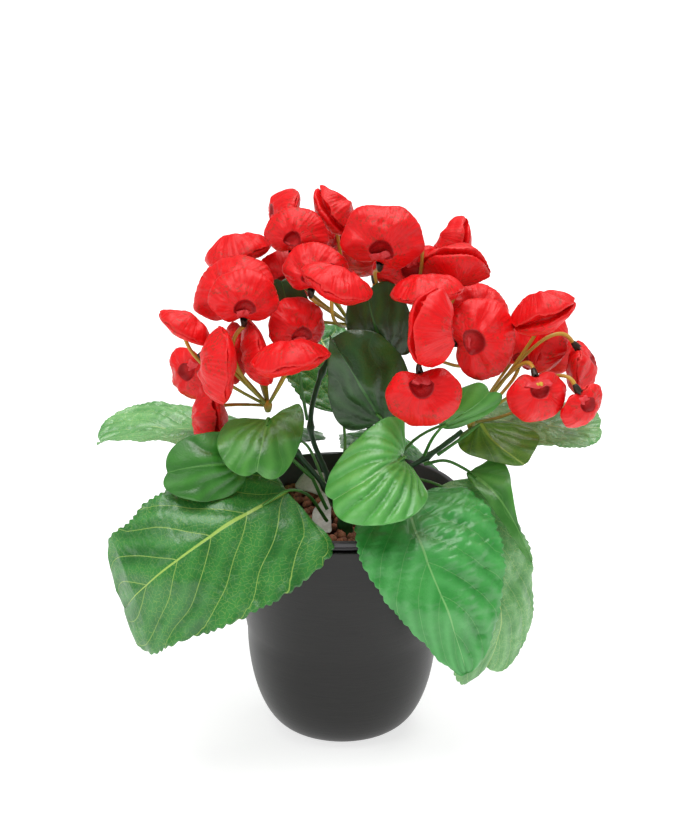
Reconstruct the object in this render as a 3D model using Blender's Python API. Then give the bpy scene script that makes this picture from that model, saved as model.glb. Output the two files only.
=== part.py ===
"""An artificial calceolaria bush in a round grey pot, modelled in metres with +Z up.

The origin is the middle of the pot's flat base. +X is the viewer's right, -Y is the front.
Every length below is in millimetres and is turned into metres when a mesh is made.
"""

import math
import random

import bpy
from mathutils import Vector

MM = 0.001
GAP = 0.4

# Pot, its liner and what fills it
POT_TOP = 146.0
POT_RADIUS = 74.5
POT_WALL = 3.0
POT_TAPER = math.tan(math.radians(10.25))
CORNER_HEIGHT = 66.0
BASE_RADIUS = 34.0
LINER_TOP = 153.0
LINER_RADIUS = 75.0
LINER_WALL = 3.6
LINER_FLOOR = 1.6
LIP_HEIGHT = 3.2
LIP_WIDTH = 3.4
GROOVE_INSET = 2.4
FILL_TOP = 133.0
FILL_CLEARANCE = 0.7
ROUND_SIDES = 32

# Pebble bed: rings of points, every third one a pebble's top
BED_RINGS = 9
BED_BASE = 2.0
PEBBLE_HEIGHT = 4.5

# Trunk and stems
TRUNK_FOOT = (2, -22, 96)
TRUNK_FORK = (2, -22, 150)
TRUNK_RADIUS = 6.0
STEM_ROOT = (2, -22, 140)
STEM_RADIUS = 1.9
KNUCKLE_RADIUS = 2.9
KNUCKLE_LENGTH = 4.4
PETIOLE_RADIUS = 1.3
FLOWER_STALK_RADIUS = 1.1
HUB_RADIUS = 4.2
CALYX_RADIUS = 2.7
CALYX_LENGTH = 5.0
STALK_POINTS = 4

# Leaf blades
BLADE = 0.8
TOOTH = 0.05
BLADE_FULLNESS = 1.06
TIP_DRAW = 0.12
SQUARE_PLACE = 0.93
SQUARE_REACH = 0.1
TOOTHED_STATIONS = 10
ROUND_STATIONS = 8

# Card strap: its lower and upper edge from the back to the front, and its thickness
CARD_EDGES = (
    ((-31, 40, 141.6), (-21, 46, 153)),
    ((-13, 22, 142), (-3, 27, 151)),
    ((-18, -2, 142), (-6.5, -1, 144.5)),
    ((-18, -36, 141.6), (-6, -36, 142.4)),
)
CARD_THICKNESS = 0.8

# Flowers, in shares of a flower's width
HALF_HEIGHT = 0.38
FRONT_DOME = 0.20
REAR_DOME = 0.14
THROAT_DROP = 0.17
THROAT_RADIUS = 0.12
THROAT_DEPTH = 0.16
NOTCH_DEPTH = 0.30
CORNER_REACH = 0.07
RIM_CRIMP = 0.02
FRONT_RING = 0.76
REAR_RIM = 0.97
REAR_RING = 0.62
CLEFT_LEAST = 0.05
CLEFT_MOST = 0.5
FLOWER_SIDES = 14

COLOURS = {
    "pot": ((0.045, 0.043, 0.041), 0.55),
    "liner": ((0.12, 0.11, 0.12), 0.35),
    "filling": ((0.05, 0.04, 0.03), 0.9),
    "pebbles": ((0.16, 0.05, 0.03), 0.85),
    "card": ((0.55, 0.55, 0.52), 0.6),
    "stem": ((0.01, 0.05, 0.015), 0.45),
    "stalk": ((0.20, 0.24, 0.01), 0.5),
    "leaf": ((0.02, 0.17, 0.03), 0.35),
    "flower": ((0.75, 0.01, 0.015), 0.5),
}

# Where each spray's stalks meet
HUBS = {
    "left": (-44, -28, 222),
    "middle": (6, 12, 260),
    "upper_right": (38, 8, 250),
    "right": (78, -20, 208),
}

# Each stem runs from the fork through these points to its spray's hub
STEMS = {
    "left": ((-10, -26, 168), (-27, -28, 192), (-40, -28, 214)),
    "middle": ((-8, -16, 170), (-19, -6, 200), (-12, 4, 232), (3, 11, 254)),
    "upper_right": ((8, -18, 175), (20, -10, 210), (34, 6, 244)),
    "right": ((22, -24, 168), (52, -22, 187), (73, -21, 203)),
}

# Flowers: spray, centre (x, y, z), facing azimuth and elevation, roll of the pouch, width, gape
FLOWERS = {
    "flower_left_top": ("left", (-63, 22, 304), -90, 73, 90, 41, 2),
    "flower_left_arch": ("left", (-64, -9, 289), -20, 28, -25, 50, 3),
    "flower_left_face": ("left", (-57, -38, 292), 5, 12, 0, 41, 1.5),
    "flower_left_outer": ("left", (-92, -30, 272), 90, 57, -90, 34, 4),
    "flower_left_side": ("left", (-89, -6, 234), -45, 0, 200, 41, 4),
    "flower_left_upright": ("left", (-71, -54, 256), -75, 5, 84, 46, 3),
    "flower_left_shaded": ("left", (-64, -10, 248), -85, 0, 90, 40, 1.5),
    "flower_left_leaning": ("left", (-50, -34, 256), -75, -14, 98, 42, 1.5),
    "flower_left_front": ("left", (-29, -70, 266), -90, 80, 90, 46, 3),
    "flower_left_inner": ("left", (-28, -20, 270), 30, 10, 0, 40, 4),
    "flower_left_low": ("left", (-78, -26, 213), -75, 0, 90, 42, 6),
    "flower_mid_peak_left": ("middle", (-34, 22, 329), -75, 28, 0, 36, 4),
    "flower_mid_face_left": ("middle", (-27, 3, 320), -5, 20, 10, 38, 2),
    "flower_mid_peak": ("middle", (-4, 20, 328), 90, 38, -75, 38, 8),
    "flower_mid_face": ("upper_right", (24, -16, 322), 0, 15, 5, 49, 3),
    "flower_mid_round": ("middle", (-15, -20, 304), -10, 20, 10, 40, 2),
    "flower_mid_loaf": ("middle", (-3, -51, 304), 90, 70, -90, 44, 2),
    "flower_mid_tucked": ("middle", (-33, 26, 287), 10, 10, 40, 36, 2),
    "flower_mid_behind": ("middle", (-9, 46, 308), 50, 10, 0, 36, 3),
    "flower_mid_under": ("upper_right", (39, 5, 299), 20, -30, 180, 44, 3),
    "flower_upper_peak": ("upper_right", (68, 30, 304), -70, 25, 98, 38, 8),
    "flower_upper_cup": ("upper_right", (68, -4, 300), 180, 35, 0, 42, 8),
    "flower_upper_lens": ("upper_right", (50, -30, 294), -90, 84, 90, 42, 1.5),
    "flower_upper_upright": ("upper_right", (52, -62, 281), 50, 0, -90, 47, 8),
    "flower_upper_disc": ("upper_right", (82, -26, 264), 10, 10, 80, 50, 6),
    "flower_upper_back": ("upper_right", (82, 14, 269), 15, 35, 30, 42, 3),
    "flower_front_pouch": ("upper_right", (47, -62, 240), 5, 15, 175, 45, 3),
    "flower_right_open": ("right", (119, -24, 279), -90, 70, 95, 42, 9),
    "flower_right_band": ("right", (127, 14, 247), 70, -17, -90, 42, 4),
    "flower_right_face": ("right", (115, -44, 234), 15, 10, 178, 38, 3),
    "flower_right_end": ("right", (145, 4, 235), 85, 5, 180, 42, 3),
    "flower_right_low": ("right", (142, -36, 225), 40, -10, 160, 34, 3),
    "flower_right_shaded": ("right", (109, 16, 245), 0, 0, 0, 36, 2),
    "flower_back_left": ("left", (-58, 46, 272), 190, 20, 0, 44, 2),
    "flower_back_middle": ("middle", (20, 56, 289), 175, 25, 0, 44, 2),
    "flower_back_right": ("upper_right", (84, 44, 248), 170, 15, 0, 44, 2),
    "flower_back_end": ("right", (126, 44, 232), 160, 10, 0, 42, 2),
}

# How far a stalk's bend is moved to pass clear of the other blooms
STALK_OFFSETS = {
    "flower_left_top": (-4, -44, -6),
    "flower_mid_peak": (8, -6, -3),
    "flower_mid_loaf": (-2, -15, -22),
    "flower_mid_tucked": (-2, -2, -5),
    "flower_left_arch": (-1, 6, 1),
    "flower_left_face": (-18, -11, 1),
    "flower_left_outer": (4, -34, -8),
    "flower_left_side": (-13, -23, 5),
    "flower_mid_peak_left": (14, -6, 4),
    "flower_mid_face": (-8, 10, 15),
    "flower_mid_round": (2, 1, 10),
    "flower_mid_under": (16, -24, -2),
    "flower_front_pouch": (14, 11, -12),
    "flower_right_end": (2, -12, 8),
    "flower_right_low": (4, 4, -2),
}

# Blooms that press on each other are one body
TOUCHING = {
    "flower_left_side": "flower_left_low",
    "flower_right_band": "flower_right_shaded",
    "flower_mid_face_left": "flower_mid_peak_left",
    "flower_upper_cup": "flower_mid_under",
}


def leaf(rib, left, right, lobe=0.0, toothed=False, power=0.5, square=0.0, petiole=()):
    """A blade: four points along its rib, two on each edge, and its petiole's path from the stem."""
    return {
        "rib": rib,
        "left": left,
        "right": right,
        "lobe": lobe,
        "toothed": toothed,
        "power": power,
        "square": square,
        "petiole": petiole,
    }


# Leaves, with left and right as seen from above with the tip away from the viewer
LEAVES = {
    "leaf_front_left": leaf(
        rib=((-32, -62, 181), (-69, -86, 167), (-101, -98, 147), (-132, -88, 115)),
        left=((-40, -103, 126), (-83, -108, 108)),
        right=((-88, -56, 189), (-119, -70, 173)),
        lobe=30,
        toothed=True,
        power=0.34,
        square=0.3,
        petiole=((-9, -30, 148), (-20, -38, 168)),
    ),
    "leaf_front_right": leaf(
        rib=((38, -50, 173), (48, -86, 153), (61, -98, 122), (74, -98, 79)),
        left=((93, -62, 158), (96, -78, 124)),
        right=((12, -92, 146), (37, -98, 111)),
        lobe=10,
        toothed=True,
        petiole=((14, -28, 148), (27, -40, 168)),
    ),
    "leaf_right_low": leaf(
        rib=((59, -34, 173), (86, -56, 143), (96, -62, 102), (89, -58, 62)),
        left=((112, -36, 140), (116, -46, 90)),
        right=((60, -72, 131), (66, -74, 83)),
        lobe=6,
        toothed=True,
        power=0.42,
        petiole=((16, -18, 148), (36, -24, 172)),
    ),
    "leaf_left_far": leaf(
        rib=((-49, 6, 190), (-82, 14, 192), (-116, 18, 192), (-150, 10, 185)),
        left=((-83, -16, 192), (-123, -12, 193)),
        right=((-90, 48, 192), (-128, 46, 195)),
        lobe=6,
        toothed=True,
        petiole=((-9, -12, 148), (-26, 0, 178)),
    ),
    "leaf_right_far": leaf(
        rib=((78, 8, 201), (104, 12, 198), (133, 10, 195), (160, 12, 194)),
        left=((106, 46, 199), (140, 46, 198)),
        right=((103, -18, 197), (136, -18, 191)),
        lobe=6,
        toothed=True,
        petiole=((14, -10, 148), (44, 2, 188)),
    ),
    "leaf_back_left": leaf(
        rib=((-26, 40, 174), (-52, 72, 172), (-76, 96, 154), (-92, 116, 124)),
        left=((-83, 46, 172), (-106, 72, 150)),
        right=((-20, 92, 158), (-44, 118, 138)),
        lobe=8,
        toothed=True,
        petiole=((-6, -6, 148), (-18, 18, 172)),
    ),
    "leaf_back_right": leaf(
        rib=((22, 44, 176), (30, 78, 168), (40, 100, 140), (50, 108, 100)),
        left=((-2, 88, 154), (8, 108, 122)),
        right=((60, 82, 140), (72, 96, 104)),
        lobe=8,
        toothed=True,
        petiole=((8, -6, 148), (22, 18, 172)),
    ),
    "leaf_back_mid": leaf(
        rib=((0, 34, 196), (-8, 56, 218), (-14, 74, 232), (-20, 94, 236)),
        left=((-38, 46, 220), (-42, 66, 236)),
        right=((26, 62, 212), (14, 82, 228)),
        lobe=6,
        toothed=True,
        petiole=((1, -6, 148), (2, 18, 178)),
    ),
    "leaf_right_under": leaf(
        rib=((84, -24, 209), (91, -32, 201), (99, -38, 196), (109, -40, 189)),
        left=((72, -28, 194), (85, -34, 190)),
        right=((118, -32, 205), (117, -36, 199)),
        petiole=((58, -27, 190), (74, -29, 203)),
    ),
    "leaf_shade_mid": leaf(
        rib=((24, -34, 214), (15, -40, 232), (5, -42, 250), (-6, -34, 266)),
        left=((-7, -36, 225), (-8, -36, 252)),
        right=((41, -30, 239), (30, -30, 261)),
        lobe=6,
        petiole=((12, -21, 178), (20, -30, 200)),
    ),
    "leaf_sheen_mid": leaf(
        rib=((37, -60, 201), (25, -78, 202), (11, -86, 195), (-5, -84, 184)),
        left=((40, -98, 179), (17, -102, 175)),
        right=((22, -58, 223), (1, -68, 206)),
        lobe=8,
        petiole=((10, -30, 152), (26, -48, 182)),
    ),
    "leaf_heart_left": leaf(
        rib=((-43, -50, 222), (-45, -64, 217), (-47, -74, 210), (-49, -78, 199)),
        left=((-22, -58, 221), (-28, -72, 204)),
        right=((-73, -62, 213), (-68, -74, 203)),
        lobe=8,
        petiole=((-30, -33, 197), (-38, -42, 213)),
    ),
    "leaf_round_left": leaf(
        rib=((-55, -54, 196), (-71, -66, 199), (-86, -70, 199), (-102, -66, 194)),
        left=((-76, -76, 180), (-94, -76, 182)),
        right=((-74, -57, 216), (-92, -60, 213)),
        lobe=6,
        petiole=((-17, -31, 176), (-37, -40, 197)),
    ),
    "leaf_hanging_right": leaf(
        rib=((77, -26, 179), (88, -40, 175), (100, -50, 162), (115, -54, 131)),
        left=((99, -36, 186), (103, -48, 169)),
        right=((82, -42, 173), (95, -52, 158)),
        petiole=((50, -27, 184), (63, -29, 187)),
    ),
    "leaf_top_dark": leaf(
        rib=((28, -14, 252), (22, -16, 263), (18, -16, 275), (15, -10, 288)),
        left=((4, -6, 260), (3, -4, 276)),
        right=((43, -8, 260), (38, -6, 282)),
        petiole=((22, -12, 219), (25, -14, 238)),
    ),
    "leaf_right_mid": leaf(
        rib=((59, -40, 212), (68, -44, 220), (77, -46, 227), (87, -44, 236)),
        left=((62, -38, 230), (73, -38, 238)),
        right=((80, -46, 219), (92, -46, 228)),
        petiole=((50, -27, 190), (54, -35, 203)),
    ),
    "leaf_left_top": leaf(
        rib=((-27, -10, 254), (-30, -8, 266), (-33, -6, 280), (-36, -2, 292)),
        left=((-39, -6, 262), (-42, -4, 281)),
        right=((-15, -6, 265), (-21, -2, 283)),
        petiole=((-21, -9, 206), (-25, -11, 232)),
    ),
}


def clear_scene():
    for obj in list(bpy.data.objects):
        bpy.data.objects.remove(obj, do_unlink=True)


def material(name):
    """A Principled material with the part's base colour and roughness."""
    found = bpy.data.materials.get(name)
    if found:
        return found
    made = bpy.data.materials.new(name)
    made.use_nodes = True
    colour, roughness = COLOURS[name]
    shader = made.node_tree.nodes["Principled BSDF"]
    shader.inputs["Base Color"].default_value = (*colour, 1.0)
    shader.inputs["Roughness"].default_value = roughness
    shader.inputs["Metallic"].default_value = 0.0
    return made


def make_object(name, points, faces, finish):
    """A mesh object from points in millimetres."""
    mesh = bpy.data.meshes.new(name)
    mesh.from_pydata([Vector(p) * MM for p in points], [], faces)
    mesh.update()
    mesh.shade_smooth()
    mesh.set_sharp_from_angle(angle=math.radians(40))
    mesh.materials.append(material(finish))
    obj = bpy.data.objects.new(name, mesh)
    bpy.context.scene.collection.objects.link(obj)
    return obj


def apply_modifiers(obj):
    graph = bpy.context.evaluated_depsgraph_get()
    mesh = bpy.data.meshes.new_from_object(obj.evaluated_get(graph))
    obj.modifiers.clear()
    obj.data = mesh


def fuse(obj, others):
    """One body from an object and the shapes whose roots are sunk into it."""
    group = bpy.data.collections.new(obj.name + "_shapes")
    bpy.context.scene.collection.children.link(group)
    for other in others:
        bpy.context.scene.collection.objects.unlink(other)
        group.objects.link(other)
    union = obj.modifiers.new("fuse", "BOOLEAN")
    union.operation = "UNION"
    union.solver = "MANIFOLD"
    union.operand_type = "COLLECTION"
    union.collection = group
    apply_modifiers(obj)
    for other in others:
        bpy.data.objects.remove(other, do_unlink=True)
    bpy.data.collections.remove(group)
    return obj


def cut(obj, cutter):
    """Cuts a plain hole with a solid that is then removed."""
    hole = obj.modifiers.new("hole", "BOOLEAN")
    hole.operation = "DIFFERENCE"
    hole.solver = "MANIFOLD"
    hole.object = cutter
    apply_modifiers(obj)
    bpy.data.objects.remove(cutter, do_unlink=True)
    return obj


def ring_faces(rings):
    """Faces between rings of points listed one after another, with a fan at each end."""
    faces = []
    count = len(rings[0])
    last = len(rings) - 1
    for k in range(last):
        a = 1 + k * count
        b = a + count
        for i in range(count):
            j = (i + 1) % count
            faces.append((a + i, a + j, b + j, b + i))
    end = 1 + (last + 1) * count
    for i in range(count):
        j = (i + 1) % count
        faces.append((0, 1 + j, 1 + i))
        faces.append((end, 1 + last * count + i, 1 + last * count + j))
    return faces


def closed_rings(name, start, rings, end, finish):
    """A closed body from a start point, rings that run anticlockwise about its way, and an end point."""
    points = [start]
    for ring in rings:
        points.extend(ring)
    points.append(end)
    return make_object(name, points, ring_faces(rings), finish)


def turned(name, profile, finish):
    """A body turned about Z from its closed (radius, height) outline, both ends on the axis."""
    rings = []
    for radius, height in profile[1:-1]:
        ring = []
        for i in range(ROUND_SIDES):
            turn = 2 * math.pi * i / ROUND_SIDES
            ring.append((radius * math.cos(turn), radius * math.sin(turn), height))
        rings.append(ring)
    start = (0, 0, profile[0][1])
    end = (0, 0, profile[-1][1])
    return closed_rings(name, start, rings, end, finish)


def across(way):
    """Two directions square to a way and to each other."""
    side = Vector((0, 0, 1)).cross(way)
    if side.length < 0.1:
        side = Vector((1, 0, 0))
    side.normalize()
    return side, way.cross(side)


def tube(name, path, radii, finish, sides=5):
    """A round bar along a path, with a radius at each of its points."""
    path = [Vector(p) for p in path]
    side, _ = across((path[1] - path[0]).normalized())
    rings = []
    for k, point in enumerate(path):
        before = path[max(k - 1, 0)]
        after = path[min(k + 1, len(path) - 1)]
        way = (after - before).normalized()
        side = (side - way * side.dot(way)).normalized()
        other = way.cross(side)
        ring = []
        for i in range(sides):
            turn = 2 * math.pi * i / sides
            ring.append(point + radii[k] * (math.cos(turn) * side + math.sin(turn) * other))
        rings.append(ring)
    return closed_rings(name, path[0], rings, path[-1], finish)


def curve_through(points, steps):
    """A smooth curve through points, with this many pieces between each two."""
    points = [Vector(p) for p in points]
    first = points[0] * 2 - points[1]
    last = points[-1] * 2 - points[-2]
    held = [first, *points, last]
    curve = []
    for k in range(1, len(held) - 2):
        a, b, c, d = held[k - 1 : k + 3]
        for i in range(steps):
            t = i / steps
            curve.append(
                0.5
                * (
                    2 * b
                    + (c - a) * t
                    + (2 * a - 5 * b + 4 * c - d) * t**2
                    + (3 * b - 3 * c + d - a) * t**3
                )
            )
    curve.append(points[-1])
    return curve


def wall_radius(height):
    """The outer pot's radius at a height above its round corner."""
    return POT_RADIUS - (POT_TOP - height) * POT_TAPER


def pot_outline(inset, lift, steps=4):
    """The pot's round bottom and wall, moved in by an inset and up by a lift."""
    wall = wall_radius(CORNER_HEIGHT) - inset
    base = BASE_RADIUS - inset
    outline = []
    for k in range(steps + 1):
        turn = math.pi / 2 * (1 - k / steps)
        radius = base + (wall - base) * math.cos(turn)
        outline.append((radius, lift + (CORNER_HEIGHT - lift) * (1 - math.sin(turn))))
    outline.append((POT_RADIUS - inset, POT_TOP))
    return outline


def make_pot():
    outer = pot_outline(0, 0)
    inner = pot_outline(POT_WALL, POT_WALL)
    return turned("pot", [(0, 0), *outer, *reversed(inner), (0, POT_WALL)], "pot")


def liner_radius(height):
    """The liner's outer radius below its collar: a straight taper clear of the pot."""
    return wall_radius(height) - POT_WALL - GAP


def make_liner():
    collar = POT_TOP + GAP
    lip = LINER_TOP - LIP_HEIGHT
    foot = CORNER_HEIGHT
    outer = [
        (liner_radius(foot), foot),
        (liner_radius(collar) - GAP, collar),
        (POT_RADIUS - GROOVE_INSET, collar),
        (POT_RADIUS - GROOVE_INSET, lip),
        (LINER_RADIUS, lip),
        (LINER_RADIUS, LINER_TOP),
    ]
    inner = [
        (LINER_RADIUS - LIP_WIDTH, LINER_TOP),
        (inner_radius(FILL_TOP), FILL_TOP),
        (inner_radius(foot), foot + LINER_FLOOR),
    ]
    return turned("liner", [(0, foot), *outer, *inner, (0, foot + LINER_FLOOR)], "liner")


def inner_radius(height):
    """The liner's inner radius below its lip."""
    return liner_radius(height) - LINER_WALL


def make_filling():
    """The plug that fills the liner, with a plain hole for the trunk."""
    foot = CORNER_HEIGHT + LINER_FLOOR + GAP
    profile = [
        (0, foot),
        (inner_radius(foot) - FILL_CLEARANCE, foot),
        (inner_radius(FILL_TOP) - FILL_CLEARANCE, FILL_TOP),
        (0, FILL_TOP),
    ]
    return cut(turned("filling", profile, "filling"), trunk_hole())


def trunk_hole():
    x, y, _ = TRUNK_FOOT
    path = [(x, y, TRUNK_FOOT[2] - GAP), (x, y, LINER_TOP)]
    return tube("hole", path, [TRUNK_RADIUS + GAP] * 2, "filling", sides=12)


def is_pebble(ring, k):
    """Whether the k-th point of a ring of six straight edges is a pebble's top: one in three is."""
    edge, along = divmod(k, ring)
    corners = ((1, 0), (0, 1), (-1, 1), (-1, 0), (0, -1), (1, -1))
    q, r = corners[edge]
    steps = corners[(edge + 2) % 6]
    q = q * ring + steps[0] * along
    r = r * ring + steps[1] * along
    return (q - r) % 3 == 0


def make_pebbles():
    """The bed's top as relief: a lattice of rings in which every third point is a pebble's top."""
    rng = random.Random(7)
    radius = inner_radius(FILL_TOP) - FILL_CLEARANCE
    base = FILL_TOP + GAP
    points = [(0, 0, base + BED_BASE + PEBBLE_HEIGHT)]
    rows = [[0]]
    for ring in range(1, BED_RINGS + 1):
        row = []
        for k in range(6 * ring):
            turn = 2 * math.pi * k / (6 * ring)
            out = radius * ring / BED_RINGS
            height = base + BED_BASE
            if is_pebble(ring, k) and ring < BED_RINGS:
                height += PEBBLE_HEIGHT * rng.uniform(0.75, 1.1)
            row.append(len(points))
            points.append((out * math.cos(turn), out * math.sin(turn), height))
        rows.append(row)
    faces = []
    for ring in range(1, BED_RINGS + 1):
        inner = rows[ring - 1]
        outer = rows[ring]
        for edge in range(6):
            for k in range(ring):
                a = outer[(edge * ring + k) % len(outer)]
                b = outer[(edge * ring + k + 1) % len(outer)]
                c = inner[(edge * (ring - 1) + k) % len(inner)]
                faces.append((a, b, c))
                if k < ring - 1:
                    d = inner[(edge * (ring - 1) + k + 1) % len(inner)]
                    faces.append((b, d, c))
    rim = rows[-1]
    below = []
    for index in rim:
        x, y, _ = points[index]
        below.append(len(points))
        points.append((x, y, base))
    middle = len(points)
    points.append((0, 0, base))
    for k in range(len(rim)):
        j = (k + 1) % len(rim)
        faces.append((rim[k], below[k], below[j], rim[j]))
        faces.append((below[j], below[k], middle))
    return cut(make_object("pebbles", points, faces, "pebbles"), trunk_hole())


def make_stems():
    """The trunk in its hole and its four stems, with a knuckle at every bend."""
    trunk = tube(
        "stems",
        [TRUNK_FOOT, (TRUNK_FORK[0], TRUNK_FORK[1], 130), TRUNK_FORK],
        [TRUNK_RADIUS, TRUNK_RADIUS, TRUNK_RADIUS * 0.7],
        "stem",
        sides=8,
    )
    shapes = []
    for name, bends in STEMS.items():
        path = curve_through([STEM_ROOT, *bends], 2)
        shapes.append(tube(name, path, [STEM_RADIUS] * len(path), "stem", sides=5))
        for bend in bends[:-1]:
            half = Vector((0, 0, KNUCKLE_LENGTH / 2))
            ends = [Vector(bend) - half, Vector(bend) + half]
            shapes.append(tube("knuckle", ends, [KNUCKLE_RADIUS] * 2, "stem", sides=6))
    return fuse(trunk, shapes)


def facing(azimuth, elevation, roll):
    """A flower's side, up and out directions. Azimuth 0 faces the front, roll turns its pouch clockwise."""
    azimuth, elevation, roll = (math.radians(v) for v in (azimuth, elevation, roll))
    out = Vector(
        (
            math.sin(azimuth) * math.cos(elevation),
            -math.cos(azimuth) * math.cos(elevation),
            math.sin(elevation),
        )
    )
    up = Vector((0, 0, 1))
    up = (up - out * up.dot(out)).normalized()
    right = up.cross(out)
    pouch = up * math.cos(roll) + right * math.sin(roll)
    side = right * math.cos(roll) - up * math.sin(roll)
    return side, pouch, out


def bump(turn, place, width):
    """A smooth bump of height 1 at a place on the rim, all in degrees."""
    apart = (turn - place + 180) % 360 - 180
    return math.exp(-((apart / width) ** 2))


def rim_radius(turn, width):
    """The kidney outline: a flattened round with a notch at -90 degrees and a drawn-out corner each side."""
    angle = math.radians(turn)
    flat = 1 / math.hypot(math.cos(angle) / 0.5, math.sin(angle) / HALF_HEIGHT)
    notch = 1 - NOTCH_DEPTH * bump(turn, -90, 26)
    corners = 1 + CORNER_REACH * (bump(turn, -12, 13) + bump(turn, 192, 13))
    return width * flat * notch * corners


def opening(turn):
    """How far apart the shells stand: closed at the notch, full at the far edge."""
    return 0.5 - 0.5 * math.cos(math.radians(turn + 90))


def flower_points(width, gape, bend):
    """Rings of a flower in its own side, pouch and out directions, throat first and back last."""
    centre = Vector((0, -THROAT_DROP * width))
    front = FRONT_DOME * width
    rear = REAR_DOME * width

    def dome(place):
        around = math.degrees(math.atan2(place.y, place.x))
        share = min(place.length / rim_radius(around, width), 1.0)
        return (1 - share**2.4) ** 0.6

    rings = [[] for _ in range(6)]
    for i in range(FLOWER_SIDES):
        turn = 360 * i / FLOWER_SIDES - 90
        reach = rim_radius(turn, width) * (1 + RIM_CRIMP if i % 2 else 1 - RIM_CRIMP)
        rim = Vector((math.cos(math.radians(turn)), math.sin(math.radians(turn)))) * reach
        gap = opening(turn)
        half = BLADE + gape / 2 * gap
        depth = CLEFT_LEAST + gap * min(0.10 + gape / width * 1.3, CLEFT_MOST)
        ray = rim - centre
        throat = centre + ray * min(THROAT_RADIUS * width / ray.length, 0.55)
        arch = bend * (rim.x / width * 2) ** 2
        middle = centre.lerp(rim, FRONT_RING)
        for ring, (place, lift) in enumerate(((throat, 0.0), (middle, FRONT_RING**2))):
            rings[ring].append((place.x, place.y, front * dome(place) + half + arch * lift))
        rings[2].append((rim.x, rim.y, half + arch))
        inside = rim * (1 - depth)
        rings[3].append((inside.x, inside.y, arch * 0.7))
        back = rim * REAR_RIM
        rings[4].append((back.x, back.y, arch - half))
        middle = rim * REAR_RING
        rings[5].append((middle.x, middle.y, arch * REAR_RING**2 - half - rear * dome(middle)))
    start = (centre.x, centre.y, front * 0.5 + BLADE - THROAT_DEPTH * width * 0.6)
    end = (0, 0, -rear - BLADE)
    return start, rings, end


def make_flower(name, place, azimuth, elevation, roll, width, gape):
    rng = random.Random(name)
    side, pouch, out = facing(azimuth, elevation, roll)
    start, rings, end = flower_points(width, gape, rng.uniform(-2, 2))

    def put(point):
        return Vector(place) + side * point[0] + pouch * point[1] + out * point[2]

    placed = [[put(p) for p in reversed(ring)] for ring in rings]
    return closed_rings(name, put(start), placed, put(end), "flower")


def calyx_place(place, azimuth, elevation, roll, width):
    """Where a flower's calyx meets its notch, and the way from the flower into the stalk."""
    _, pouch, out = facing(azimuth, elevation, roll)
    notch = rim_radius(-90, width)
    seat = Vector(place) - pouch * (notch + 2 * GAP) - out * GAP
    return seat, (-pouch * 0.8 - out * 0.6).normalized()


def make_spray(name):
    """One spray: a hub and a stalk with a calyx for each of its flowers."""
    hub = Vector(HUBS[name])
    body = tube(
        "spray_" + name,
        [hub - Vector((0, 0, 3)), hub, hub + Vector((0, 0, 3))],
        [HUB_RADIUS * 0.6, HUB_RADIUS, HUB_RADIUS * 0.6],
        "stalk",
        sides=8,
    )
    shapes = []
    for flower, (spray, place, azimuth, elevation, roll, width, _) in FLOWERS.items():
        if spray != name:
            continue
        seat, way = calyx_place(place, azimuth, elevation, roll, width)
        foot = seat + way * CALYX_LENGTH
        reach = (foot - hub).length
        bend = foot + way * reach * 0.3 + Vector(STALK_OFFSETS.get(flower, (0, 0, 0)))
        path = []
        for k in range(STALK_POINTS):
            t = k / (STALK_POINTS - 1)
            start = hub.lerp(bend, t)
            path.append(start.lerp(bend.lerp(foot, t), t))
        path += [foot.lerp(seat, 0.5), seat]
        radii = [FLOWER_STALK_RADIUS] * STALK_POINTS + [CALYX_RADIUS, CALYX_RADIUS * 0.85]
        shapes.append(tube(flower + "_stalk", path, radii, "stalk", sides=4))
    return fuse(body, shapes)


def line_through(points, t):
    """The point at t on the cubic that passes four points at 0, 1/3, 2/3 and 1."""
    nodes = (0, 1 / 3, 2 / 3, 1)
    total = Vector((0, 0, 0))
    for i, point in enumerate(points):
        weight = 1.0
        for j, node in enumerate(nodes):
            if j != i:
                weight *= (t - node) / (nodes[i] - node)
        total += Vector(point) * weight
    return total


def blade_width(shape, t):
    """The blade's outline: round at the base, drawn in towards the tip. A low power squares it."""
    corners = 1 + shape["square"] * math.exp(-(((t - SQUARE_PLACE) / SQUARE_REACH) ** 2))
    return max(4 * t * (1 - t), 0) ** shape["power"] * (BLADE_FULLNESS - TIP_DRAW * t) * corners


def blade_point(shape, t, v):
    """A point of the blade at t along the rib and v from -1, its left edge, to 1, its right edge."""
    rib = line_through(shape["rib"], t)
    ahead = line_through(shape["rib"], min(t + 0.01, 1.0))
    behind = line_through(shape["rib"], max(t - 0.01, 0.0))
    along = (ahead - behind).normalized()
    edges = shape["right"] if v > 0 else shape["left"]
    spans = []
    for node, edge in zip((1 / 3, 2 / 3), edges):
        reach = Vector(edge) - line_through(shape["rib"], node)
        spans.append(reach / blade_width(shape, node))
    span = spans[0].lerp(spans[1], 3 * t - 1)
    point = rib + span * blade_width(shape, t) * abs(v)
    point -= along * shape["lobe"] * abs(v) ** 1.5 * (1 - t) ** 4 * min(t * 8, 1)
    return point


def blade_grid(shape, stations):
    """Rows of points along the blade: the rib, halfway on each side, and the edges, denser with teeth."""
    rib = [blade_point(shape, i / stations, 0) for i in range(stations + 1)]
    steps = 2 * stations if shape["toothed"] else stations
    sides = []
    for sign in (-1, 1):
        half = [blade_point(shape, i / stations, 0.5 * sign) for i in range(stations + 1)]
        edge = []
        for i in range(steps + 1):
            tooth = TOOTH if shape["toothed"] and i % 2 == 0 else 0.0
            edge.append(blade_point(shape, i / steps, sign * (1 - tooth)))
        sides.append((half, edge))
    return rib, sides


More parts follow.
